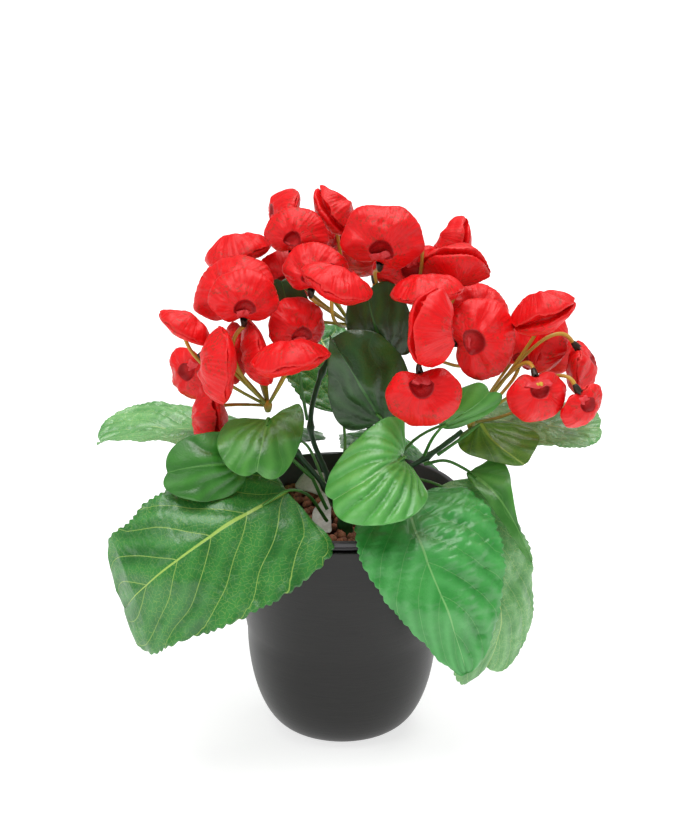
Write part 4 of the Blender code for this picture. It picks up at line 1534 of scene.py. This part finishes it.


# The leaf prints: base, deep, light and vein tones, and how strongly side veins and the net show; the
# light tone is a painted highlight on the crowns of the puckers and folds
PRINTS = {
    "deep": ("#2e812e", "#1c661f", "#44983f", "#a8cb5c", 0.65, 0.28),
    "mid": ("#3fa245", "#2b8a35", "#5cb862", "#8cc878", 0.30, 0.06),
    "pale": ("#68ac60", "#4b9048", "#86c07a", "#b8d884", 0.45, 0.42),
    "yellow": ("#4b7812", "#3a630a", "#6a942a", "#96aa3c", 0.30, 0.25),
    "plain": ("#489132", "#2f7420", "#62ac48", "#7fbf60", 0.15, 0.03),
    "low": ("#357d24", "#226414", "#4b9736", "#68a84c", 0.12, 0.03),
    "shade": ("#24501a", "#173a10", "#336a26", "#4f8f3f", 0.12, 0.03),
    "sheen": ("#59ad4b", "#3f9338", "#7cc46c", "#9fd488", 0.10, 0.03),
}


def leaf_material(name):
    # Printed polyester satin, heat-pressed over a veined mould: a woven ground in two greens, veins
    # printed lighter, a painted highlight on each pucker's crown, and a wax-like sheen that turns white
    # where it mirrors the light.
    base, deep, light, vein, strength, netted = PRINTS[name]
    made, tree, shader = new_material(
        "printed_polyester_" + name,
        linear(base),
        IOR=1.5,
        Roughness=0.38,
        Specular_IOR_Level=0.45,
        Coat_Weight=0.45,
        Coat_Roughness=0.28,
        Coat_IOR=1.5,
    )
    veins = add(tree, "ShaderNodeUVMap", {"uv_map": "veins"})
    size = add(tree, "ShaderNodeUVMap", {"uv_map": "size"})
    place = add(tree, "ShaderNodeTexCoord").outputs["Object"]
    parts = add(tree, "ShaderNodeSeparateXYZ", None, {0: veins.outputs[0]})
    near = add(
        tree, "ShaderNodeMath", {"operation": "PINGPONG"}, {0: parts.outputs[0], 1: 0.5}
    )
    # A side vein is about 0.8 mm wide, and the next one is 20 mm on
    side = add(
        tree,
        "ShaderNodeMapRange",
        {"interpolation_type": "SMOOTHSTEP"},
        {"Value": near.outputs[0], "From Min": 0.007, "From Max": 0.024, "To Min": 1.0, "To Max": 0.0},
    )
    rib = add(
        tree,
        "ShaderNodeMapRange",
        {"interpolation_type": "SMOOTHSTEP"},
        {"Value": parts.outputs[1], "From Min": 0.6, "From Max": 1.15, "To Min": 1.0, "To Max": 0.0},
    )
    # The net of small veins wanders, and its meshes are about 2.6 mm
    wander = add(tree, "ShaderNodeTexNoise", None, {"Vector": size.outputs[0], "Scale": 22, "Detail": 2})
    drift = add(
        tree,
        "ShaderNodeVectorMath",
        {"operation": "SCALE"},
        {0: wander.outputs["Color"], "Scale": 0.05},
    )
    course = add(
        tree,
        "ShaderNodeVectorMath",
        {"operation": "ADD"},
        {0: size.outputs[0], 1: drift.outputs[0]},
    )
    net = add(
        tree,
        "ShaderNodeTexVoronoi",
        {"voronoi_dimensions": "2D", "feature": "DISTANCE_TO_EDGE"},
        {"Vector": course.outputs[0], "Scale": 38},
    )
    fine = add(
        tree,
        "ShaderNodeMapRange",
        {"interpolation_type": "SMOOTHSTEP"},
        {"Value": net.outputs[0], "From Min": 0.01, "From Max": 0.09, "To Min": netted, "To Max": 0.0},
    )
    patches = add(tree, "ShaderNodeTexNoise", None, {"Vector": place, "Scale": 55, "Detail": 5})
    # The print takes unevenly, so the net comes and goes
    worn = add(
        tree,
        "ShaderNodeMapRange",
        None,
        {"Value": patches.outputs[0], "From Min": 0.35, "From Max": 0.6, "To Min": 0.25, "To Max": 1.0},
    )
    netting = add(
        tree, "ShaderNodeMath", {"operation": "MULTIPLY"}, {0: fine.outputs[0], 1: worn.outputs[0]}
    )
    bold = add(
        tree, "ShaderNodeMath", {"operation": "MULTIPLY"}, {0: side.outputs[0], 1: strength}
    )
    drawn = add(
        tree, "ShaderNodeMath", {"operation": "MAXIMUM"}, {0: bold.outputs[0], 1: netting.outputs[0]}
    )
    midrib = add(
        tree,
        "ShaderNodeMath",
        {"operation": "MULTIPLY"},
        {0: rib.outputs[0], 1: min(1.0, 0.35 + strength)},
    )
    lines = add(
        tree, "ShaderNodeMath", {"operation": "MAXIMUM"}, {0: drawn.outputs[0], 1: midrib.outputs[0]}
    )
    ground = add(
        tree,
        "ShaderNodeMapRange",
        None,
        {"Value": patches.outputs[0], "From Min": 0.32, "From Max": 0.68},
    )
    tone = add(
        tree,
        "ShaderNodeMix",
        {"data_type": "RGBA"},
        {0: ground.outputs[0], 6: (*linear(deep), 1), 7: (*linear(base), 1)},
    )
    # Painted highlight: each pucker's middle is lighter, and the tone falls off towards the veins as
    # painted shade
    high = add(
        tree,
        "ShaderNodeMapRange",
        {"interpolation_type": "SMOOTHSTEP"},
        {"Value": near.outputs[0], "From Min": 0.15, "From Max": 0.5, "To Min": 0.0, "To Max": 0.45},
    )
    highlit_crown = add(
        tree,
        "ShaderNodeMix",
        {"data_type": "RGBA"},
        {0: high.outputs[0], 6: tone.outputs[2], 7: (*linear(light), 1)},
    )
    printed = add(
        tree,
        "ShaderNodeMix",
        {"data_type": "RGBA"},
        {0: lines.outputs[0], 6: highlit_crown.outputs[2], 7: (*linear(vein), 1)},
    )
    tree.links.new(printed.outputs[2], shader.inputs["Base Color"])
    # Threads about 0.35 mm apart
    weave = add(tree, "ShaderNodeTexNoise", None, {"Vector": place, "Scale": 2800, "Detail": 1})
    rough = add(
        tree,
        "ShaderNodeMapRange",
        None,
        {"Value": patches.outputs[0], "From Min": 0.3, "From Max": 0.7, "To Min": 0.3, "To Max": 0.46},
    )
    tree.links.new(rough.outputs[0], shader.inputs["Roughness"])
    sunken = add(
        tree,
        "ShaderNodeBump",
        {"invert": True},
        {"Height": lines.outputs[0], "Distance": 0.0003, "Strength": 0.5},
    )
    pebbled = add(
        tree,
        "ShaderNodeBump",
        None,
        {"Height": net.outputs[0], "Distance": 0.0005, "Strength": 0.35, "Normal": sunken.outputs[0]},
    )
    threads = add(
        tree,
        "ShaderNodeBump",
        None,
        {"Height": weave.outputs[0], "Distance": 0.00003, "Strength": 0.4, "Normal": pebbled.outputs[0]},
    )
    tree.links.new(threads.outputs[0], shader.inputs["Normal"])
    return made


class CALCEOLARIA_OT_leaves(bpy.types.Operator):
    """Make the pressed fabric leaves on their petioles"""

    bl_idname = "calceolaria.leaves"
    bl_label = "Leaves"

    def execute(self, context):
        settings = context.scene.calceolaria_leaves
        finishes = {name: leaf_material(name) for name in PRINTS}
        tree = rod_tree()
        stalk = plastic_material(
            "polyethylene_petiole", tuple(settings.petiole_colour), linear("#4f8f36")
        )
        for name, shape in LEAVES.items():
            obj = leaf_blade(name, shape, settings, finishes)
            ends = along_rib(shape["rib"], np.array([0.0, 0.12, 0.3]))
            lift = 0.9
            path = curve_through([*shape["petiole"], ends[0], ends[1] - (0, 0, lift)], 8)
            row = [(p, 1.15 - 0.45 * k / len(path)) for k, p in enumerate(path)]
            petiole = rods("petiole_" + name, [row], stalk, tree, sides=8)
            join(obj, [petiole])
            finish_piece(obj, "leaf", name)
        return {"FINISHED"}


# Blooms


def bloom_shell(name, place, azimuth, elevation, roll, width, gape, settings):
    """The two fabric shells of a bloom as one closed body, with a map of (share round, ring)."""
    rng = random.Random(name)
    sides, rings = 128, 18
    side, pouch, out = facing(azimuth, elevation, roll)
    bend = rng.uniform(-2, 2)
    turn = np.arange(sides) * 360 / sides - 90
    angle = np.radians(turn)
    flutes = settings.flutes + rng.randrange(-3, 4)
    start = rng.uniform(0, 6)
    swing = 1.1 * np.sin(angle + start) + 0.6 * np.sin(3 * angle + 2 * start)
    crimp = np.abs(np.sin(flutes * angle / 2 + start + swing)) ** 0.8 - 0.6
    puff = np.sin(rng.choice((5, 6, 7)) * angle + 3 * start) + 0.6 * np.sin(9 * angle + start)
    reach = rim_radius(turn, width) * (1 + 0.012 * puff + 0.009 * crimp)
    rim = np.stack([np.cos(angle), np.sin(angle)], axis=-1) * reach[:, None]
    centre = np.array((0, -THROAT_DROP * width))
    gap = 0.5 - 0.5 * np.cos(angle + math.pi / 2)
    held = BLADE + gape / 2 * gap
    half = 0.3 + 0.5 * max(gape - 4, 0) * gap
    front, rear = FRONT_DOME * width, REAR_DOME * width
    depth = 0.03 + gap * (0.45 if gape > 5 else 0.05)
    ray = rim - centre
    slope = np.arctan2(ray[:, 1], ray[:, 0])
    # The throat is a half-moon, its flat side towards the notch
    tall = np.where(np.sin(slope) > 0, 0.16, 0.06)
    moon = width / np.hypot(np.cos(slope) / 0.15, np.sin(slope) / tall)
    throat = centre + ray * np.minimum(moon / np.linalg.norm(ray, axis=1), 0.55)[:, None]
    arch = bend * (rim[:, 0] / width * 2) ** 2
    pleat = settings.pleat * width

    def dome(spot):
        around = np.degrees(np.arctan2(spot[:, 1], spot[:, 0]))
        share = np.minimum(np.linalg.norm(spot, axis=1) / rim_radius(around, width), 1.0)
        return (1 - share**2.1) ** 0.72

    layers, marks = [], []

    def layer(spot, height, mark):
        layers.append(np.column_stack([spot, height]))
        marks.append(mark)

    mouth = (front + held - half) * dome(throat) + half
    bottom = float(np.mean(mouth)) - 0.075 * width
    for share, drop, mark in (
        (0.3, 0.98, 0.02),
        (0.6, 0.85, 0.05),
        (0.82, 0.6, 0.08),
        (0.95, 0.28, 0.11),
        (1.0, 0.05, 0.13),
    ):
        layer(centre + (throat - centre) * share, mouth + (bottom - mouth) * drop, mark)
    for k in range(1, rings + 1):
        q = (k / rings) ** 0.85
        spot = throat + (rim - throat) * q
        height = (front + held - half) * dome(spot) + half + arch * q
        height = height + pleat * crimp * min(4 * q, 1) * (0.2 + 1.0 * q**3)
        height = height + 0.018 * width * puff * q * (1 - q) * 4 * 0.6
        layer(spot, height, 0.15 + 0.85 * q)
    top_rim = layers[-1][:, 2]
    septum = arch * 0.7
    layer(rim * 0.994, top_rim - 0.3, 1.02)
    for u in (0.85, 0.6, 0.3, 0.0):
        spot = rim * (0.99 - depth * (1 - u))[:, None]
        layer(spot, septum + np.maximum(top_rim - 0.45 - septum, 0.02) * u**0.45, 1.05 + 0.3 * (1 - u))
    back_rim = arch - half + pleat * 0.5 * crimp
    for u in (0.3, 0.6, 0.85):
        spot = rim * (0.975 - depth * (1 - u))[:, None]
        layer(spot, septum + np.minimum(back_rim + 0.45 - septum, -0.02) * u**0.45, 1.65 + 0.3 * u)
    layer(rim * 0.972, back_rim + 0.3, 1.97)
    for k in range(rings):
        q = 1 - (k / rings) ** 1.1
        spot = rim * 0.975 * q
        height = arch * q**2 - half - (rear + held - half) * dome(spot)
        height = height + (back_rim - arch + half) * q**4 - 0.4 * pleat * crimp * q * (1 - q) * 4
        layer(spot, height, 2.0 + 0.9 * (1 - q))
    body = np.concatenate(
        [[(*centre, bottom)], *layers, [(0, 0, np.mean(layers[-1][:, 2]) - 0.05)]]
    )
    # The pressing is never true: the whole bloom is warped, and each shell is dented
    seed = seed_of(name)
    warp = np.stack([waves(body, 34, seed + k, 5) for k in range(3)], axis=-1)
    body = body + warp * (0.020 * width)
    dents = waves(body * (1, 1, 0.4), 13, seed + 5) * 0.018 * width
    creases = waves(body * (1, 1, 0.4), 5, seed + 6) * 0.16
    body[:, 2] += np.where(body[:, 2] > 0, 1, -0.7) * (dents + creases)
    share = np.concatenate([[0.0], np.tile(np.arange(sides) / sides, len(layers)), [0.0]])
    ring = np.concatenate([[0.0], np.repeat(marks, sides), [3.0]])
    faces, caps = ring_faces(sides, len(layers))
    world = np.array(place, float) + body[:, :1] * side + body[:, 1:2] * pouch + body[:, 2:] * out
    turned_faces = [face[::-1] for face in faces + caps]
    return world, turned_faces, np.column_stack([share, ring])


def bloom_lip(name, place, azimuth, elevation, roll, width, gape):
    """The crumpled two-lobed upper lip that stands at the notch and hoods the throat."""
    side, pouch, out = facing(azimuth, elevation, roll)
    big = 1.7 if name in OPEN_LIPS else 1.0
    rows, columns = 9, 20
    b, a = np.meshgrid(np.linspace(0, 1, rows), np.linspace(-1, 1, columns), indexing="ij")
    tall = 0.085 * big * width * (1 - 0.42 * np.exp(-((a / 0.22) ** 2)) - 0.35 * np.abs(a) ** 3)
    notch = rim_radius(-90, width)
    x = 0.12 * big * width * a * (0.75 + 0.4 * b)
    y = -notch * 0.93 + 0.02 * width + 0.09 * width * b**1.6 - 0.03 * width * a**2
    z = FRONT_DOME * width * 0.34 + BLADE + tall * np.sin(b * math.pi / 2) - 0.03 * width * a**2
    middle = np.stack([x, y, z], axis=-1)
    seed = seed_of(name + "lip")
    middle = middle + np.stack([waves(middle, 7, seed + k, 5) for k in range(3)], axis=-1) * (
        0.018 * width * b[..., None]
    )
    run = np.gradient(middle, axis=0)
    across = np.gradient(middle, axis=1)
    normal = unit(np.cross(across, run))
    top, below = middle + normal * 0.2, middle - normal * 0.2
    points, faces = closed_sheet(top, below)
    world = np.array(place, float) + points[:, :1] * side + points[:, 1:2] * pouch + points[:, 2:] * out
    return world, faces


def bloom_stamens(place, azimuth, elevation, roll, width, gape):
    """Two joined yellow anthers in the throat."""
    side, pouch, out = facing(azimuth, elevation, roll)
    points, faces = [], []
    turns = np.arange(10) * math.pi / 5
    for sign, size in ((-1, 1.0), (1, 0.8)):
        middle = np.array((sign * 1.1, -0.20 * width, FRONT_DOME * width * 0.8))
        rings = []
        for lift, radius in ((1.3, 0.8), (0.6, 1.35), (-0.3, 1.5), (-1.2, 1.1), (-2.2, 0.5), (-4, 0.4)):
            flat = np.column_stack([np.cos(turns), np.sin(turns), np.zeros(10)]) * radius * size
            rings.append(middle + flat + (0, 0, lift * size))
        quads, caps = ring_faces(10, len(rings), len(points))
        points.extend([middle + (0, 0, 1.6 * size), *np.concatenate(rings), middle + (0, 0, -4.2)])
        faces.extend([face[::-1] for face in quads + caps])
    points = np.array(points)
    world = np.array(place, float) + points[:, :1] * side + points[:, 1:2] * pouch + points[:, 2:] * out
    return world, faces


def bloom_material(colour):
    # Dyed polyester satin, pressed into a pleated dome: clear red, with painted shade down the throat and
    # in the folds, faint brown-green mottling and a painted highlight along the rim.
    made, tree, shader = new_material(
        "dyed_polyester_red",
        colour,
        IOR=1.5,
        Roughness=0.46,
        Specular_IOR_Level=0.35,
    )
    place = add(tree, "ShaderNodeTexCoord").outputs["Object"]
    petal = add(tree, "ShaderNodeUVMap", {"uv_map": "petal"})
    parts = add(tree, "ShaderNodeSeparateXYZ", None, {0: petal.outputs[0]})
    # Painted shade of the radial folds: darker streaks run out from the throat, many round it, long along
    # it
    stretched = add(
        tree, "ShaderNodeMapping", None, {"Vector": petal.outputs[0], "Scale": (60, 2.4, 1)}
    )
    streaks = add(
        tree, "ShaderNodeTexNoise", None, {"Vector": stretched.outputs[0], "Scale": 1.0, "Detail": 3}
    )
    # Mottles are about 2 mm, and come in patches of about 15 mm
    mottle = add(tree, "ShaderNodeTexNoise", None, {"Vector": place, "Scale": 480, "Detail": 3})
    patch = add(tree, "ShaderNodeTexNoise", None, {"Vector": place, "Scale": 65, "Detail": 2})
    where = add(
        tree,
        "ShaderNodeMapRange",
        {"interpolation_type": "SMOOTHSTEP"},
        {"Value": patch.outputs[0], "From Min": 0.42, "From Max": 0.6},
    )
    fold_shade = add(
        tree,
        "ShaderNodeMapRange",
        None,
        {"Value": streaks.outputs[0], "From Min": 0.35, "From Max": 0.65, "To Min": 0.3, "To Max": 0.0},
    )
    fold_shaded = add(
        tree,
        "ShaderNodeMix",
        {"data_type": "RGBA"},
        {0: fold_shade.outputs[0], 6: (*colour, 1), 7: (*linear("#b80409"), 1)},
    )
    spots = add(
        tree,
        "ShaderNodeMapRange",
        {"interpolation_type": "SMOOTHSTEP"},
        {"Value": mottle.outputs[0], "From Min": 0.50, "From Max": 0.66, "To Min": 0.0, "To Max": 0.5},
    )
    blotted = add(
        tree, "ShaderNodeMath", {"operation": "MULTIPLY"}, {0: spots.outputs[0], 1: where.outputs[0]}
    )
    mottled = add(
        tree,
        "ShaderNodeMix",
        {"data_type": "RGBA"},
        {0: blotted.outputs[0], 6: fold_shaded.outputs[2], 7: (*linear("#7a3a1c"), 1)},
    )
    # Painted shade: the throat's recess darkens towards #96050b
    throat = add(
        tree,
        "ShaderNodeMapRange",
        {"interpolation_type": "SMOOTHSTEP"},
        {"Value": parts.outputs[1], "From Min": 0.12, "From Max": 0.19, "To Min": 0.95, "To Max": 0.0},
    )
    # Painted shade: the throat is darkest under its arch, and a painted light brightens its floor
    arch = add(
        tree,
        "ShaderNodeMapRange",
        {"interpolation_type": "SMOOTHSTEP"},
        {"Value": parts.outputs[1], "From Min": 0.02, "From Max": 0.10, "To Min": 0.35, "To Max": 1.0},
    )
    shaded = add(
        tree, "ShaderNodeMath", {"operation": "MULTIPLY"}, {0: throat.outputs[0], 1: arch.outputs[0]}
    )
    deep = add(
        tree,
        "ShaderNodeMix",
        {"data_type": "RGBA"},
        {0: shaded.outputs[0], 6: mottled.outputs[2], 7: (*linear("#96050b"), 1)},
    )
    # Painted highlight: a paler red along the rim
    off_rim = add(tree, "ShaderNodeMath", {"operation": "SUBTRACT"}, {0: parts.outputs[1], 1: 1.0})
    off_rim = add(tree, "ShaderNodeMath", {"operation": "ABSOLUTE"}, {0: off_rim.outputs[0]})
    edge = add(
        tree,
        "ShaderNodeMapRange",
        {"interpolation_type": "SMOOTHSTEP"},
        {"Value": off_rim.outputs[0], "From Min": 0.005, "From Max": 0.03, "To Min": 0.4, "To Max": 0.0},
    )
    rim_highlit = add(
        tree,
        "ShaderNodeMix",
        {"data_type": "RGBA"},
        {0: edge.outputs[0], 6: deep.outputs[2], 7: (*linear("#f2413c"), 1)},
    )
    tree.links.new(rim_highlit.outputs[2], shader.inputs["Base Color"])
    # Satin threads about 0.3 mm apart, under soft creases of 2 mm
    threads = add(tree, "ShaderNodeTexNoise", None, {"Vector": place, "Scale": 3000, "Detail": 1})
    creases = add(tree, "ShaderNodeTexNoise", None, {"Vector": place, "Scale": 420, "Detail": 3})
    lines = add(
        tree,
        "ShaderNodeBump",
        None,
        {"Height": streaks.outputs[0], "Distance": 0.0007, "Strength": 0.6},
    )
    soft = add(
        tree,
        "ShaderNodeBump",
        None,
        {"Height": creases.outputs[0], "Distance": 0.0005, "Strength": 0.5, "Normal": lines.outputs[0]},
    )
    woven = add(
        tree,
        "ShaderNodeBump",
        None,
        {"Height": threads.outputs[0], "Distance": 0.00005, "Strength": 0.5, "Normal": soft.outputs[0]},
    )
    tree.links.new(woven.outputs[0], shader.inputs["Normal"])
    return made


def lip_material():
    # The same polyester, faded towards pink where the dye is thin.
    made, tree, shader = new_material("dyed_polyester_pink", linear("#e02a30"), Roughness=0.5)
    place = add(tree, "ShaderNodeTexCoord").outputs["Object"]
    fade = add(tree, "ShaderNodeTexNoise", None, {"Vector": place, "Scale": 260, "Detail": 3})
    tint = add(
        tree,
        "ShaderNodeMix",
        {"data_type": "RGBA"},
        {0: fade.outputs[0], 6: (*linear("#d00a14"), 1), 7: (*linear("#f04a50"), 1)},
    )
    tree.links.new(tint.outputs[2], shader.inputs["Base Color"])
    bumped = add(
        tree, "ShaderNodeBump", None, {"Height": fade.outputs[0], "Distance": 0.0005, "Strength": 0.8}
    )
    tree.links.new(bumped.outputs[0], shader.inputs["Normal"])
    return made


def stamen_material():
    # Dipped polyethylene bead, dull yellow.
    made, tree, shader = new_material("polyethylene_yellow", linear("#e3b52a"), Roughness=0.55)
    place = add(tree, "ShaderNodeTexCoord").outputs["Object"]
    dust = add(tree, "ShaderNodeTexNoise", None, {"Vector": place, "Scale": 1500, "Detail": 2})
    tint = add(
        tree,
        "ShaderNodeMix",
        {"data_type": "RGBA"},
        {0: dust.outputs[0], 6: (*linear("#b98a18"), 1), 7: (*linear("#f2d050"), 1)},
    )
    tree.links.new(tint.outputs[2], shader.inputs["Base Color"])
    return made


class CALCEOLARIA_OT_blooms(bpy.types.Operator):
    """Make the red pouch blooms"""

    bl_idname = "calceolaria.blooms"
    bl_label = "Blooms"

    def execute(self, context):
        settings = context.scene.calceolaria_blooms
        finishes = [bloom_material(tuple(settings.colour)), lip_material(), stamen_material()]
        for name in BLOOMS:
            if name in PRESSED.values():
                continue
            points, faces, kinds, maps = [], [], [], []
            for bloom in (name, PRESSED.get(name)):
                if bloom is None:
                    continue
                row = BLOOMS[bloom][1:]
                shell, shell_faces, petal = bloom_shell(bloom, *row, settings)
                parts = [(shell, shell_faces), bloom_lip(bloom, *row)]
                if bloom in OPEN_LIPS:
                    parts.append(bloom_stamens(*row))
                for kind, (made, made_faces) in enumerate(parts):
                    start = sum(len(p) for p in points)
                    points.append(made)
                    faces.extend([tuple(int(i) + start for i in face) for face in made_faces])
                    kinds.extend([kind] * len(made_faces))
                    maps.append(petal if kind == 0 else np.full((len(made), 2), 0.6))
            obj = bloom_object(
                "fabric_" + name, np.concatenate(points), faces, kinds, np.concatenate(maps), finishes
            )
            finish_piece(obj, "flower", name)
        return {"FINISHED"}


def bloom_object(name, points, faces, kinds, petal, finishes):
    mesh = bpy.data.meshes.new(name)
    mesh.from_pydata((points * MM).tolist(), [], faces)
    corners = np.empty(len(mesh.loops), np.int32)
    mesh.loops.foreach_get("vertex_index", corners)
    layer = mesh.uv_layers.new(name="petal")
    layer.uv.foreach_set("vector", petal.astype(np.float32)[corners].ravel())
    mesh.polygons.foreach_set("material_index", np.array(kinds, np.int32))
    for finish in finishes:
        mesh.materials.append(finish)
    mesh.shade_smooth()
    obj = bpy.data.objects.new(name, mesh)
    bpy.context.scene.collection.objects.link(obj)
    return obj


# Stage


class CALCEOLARIA_OT_stage(bpy.types.Operator):
    """Make the pale floor, the soft studio lights and the camera"""

    bl_idname = "calceolaria.stage"
    bl_label = "Stage"

    def execute(self, context):
        settings = context.scene.calceolaria_stage
        scene = context.scene
        mesh = bpy.data.meshes.new("studio_floor")
        reach = 25.0
        below = -0.0003
        corners = [
            (-reach, -reach, below),
            (reach, -reach, below),
            (reach, reach, below),
            (-reach, reach, below),
        ]
        mesh.from_pydata(corners, [], [(0, 1, 2, 3)])
        # White acrylic light table: matte, faintly lit from below, with no gloss to mirror the pot.
        made, tree, shader = new_material(
            "acrylic_white", (0.55, 0.55, 0.55), Roughness=0.9, Specular_IOR_Level=0.1
        )
        shader.inputs["Emission Color"].default_value = (1, 1, 1, 1)
        shader.inputs["Emission Strength"].default_value = 0.72
        mesh.materials.append(made)
        floor = bpy.data.objects.new("studio_floor", mesh)
        scene.collection.objects.link(floor)

        world = bpy.data.worlds.new("studio")
        world.use_nodes = True
        sky = world.node_tree.nodes["Background"]
        sky.inputs["Color"].default_value = (1, 1, 1, 1)
        sky.inputs["Strength"].default_value = 0.3 * settings.brightness
        scene.world = world
        # Wide lamps at a distance: name, azimuth from the front, elevation, width, strength
        lights = (
            ("back_soft", 150, 62, 34, 1.3),
            ("overhead_soft", -20, 80, 40, 1.9),
            ("left_soft", -60, 42, 40, 0.4),
        )
        for name, azimuth, elevation, wide, strength in lights:
            lamp = bpy.data.lights.new(name, "SUN")
            lamp.energy = strength * settings.brightness
            lamp.angle = math.radians(wide)
            obj = bpy.data.objects.new(name, lamp)
            obj.rotation_euler = (math.radians(90 - elevation), 0, math.radians(azimuth))
            scene.collection.objects.link(obj)

        tilt = math.radians(20.18)
        aim = np.array((0.00505, 0.0, 0.2025))
        place = aim + np.array((0, -math.cos(tilt), math.sin(tilt))) * settings.distance
        camera = bpy.data.cameras.new("view")
        camera.lens = 90.8
        camera.sensor_width = 36
        camera.clip_start = 0.05
        eye = bpy.data.objects.new("view", camera)
        eye.location = place
        eye.rotation_euler = (math.pi / 2 - tilt, 0, 0)
        scene.collection.objects.link(eye)
        scene.camera = eye
        scene.view_settings.view_transform = "Standard"
        return {"FINISHED"}


OPERATORS = (
    CALCEOLARIA_OT_pot,
    CALCEOLARIA_OT_pebbles,
    CALCEOLARIA_OT_card,
    CALCEOLARIA_OT_stems,
    CALCEOLARIA_OT_sprays,
    CALCEOLARIA_OT_leaves,
    CALCEOLARIA_OT_blooms,
    CALCEOLARIA_OT_stage,
)

SETTINGS = {
    "calceolaria_pot": PotSettings,
    "calceolaria_stems": StemSettings,
    "calceolaria_leaves": LeafSettings,
    "calceolaria_blooms": BloomSettings,
    "calceolaria_stage": StageSettings,
}


class CALCEOLARIA_PT_panel(bpy.types.Panel):
    """Lists the plant's settings and the operator for each group of pieces"""

    bl_label = "Potted calceolaria"
    bl_space_type = "VIEW_3D"
    bl_region_type = "UI"
    bl_category = "Calceolaria"

    def draw(self, context):
        for operator in OPERATORS:
            self.layout.operator(operator.bl_idname)
        for key, group in SETTINGS.items():
            box = self.layout.box()
            for name in group.__annotations__:
                box.prop(getattr(context.scene, key), name)


def register():
    for group in (*SETTINGS.values(), *OPERATORS, CALCEOLARIA_PT_panel):
        bpy.utils.register_class(group)
    for key, group in SETTINGS.items():
        setattr(bpy.types.Scene, key, PointerProperty(type=group))


def unregister():
    for key in SETTINGS:
        delattr(bpy.types.Scene, key)
    for group in (CALCEOLARIA_PT_panel, *reversed(OPERATORS), *reversed(SETTINGS.values())):
        bpy.utils.unregister_class(group)


def main():
    register()
    for operator in OPERATORS:
        family, _, name = operator.bl_idname.partition(".")
        getattr(getattr(bpy.ops, family), name)()


if __name__ == "__main__":
    main()
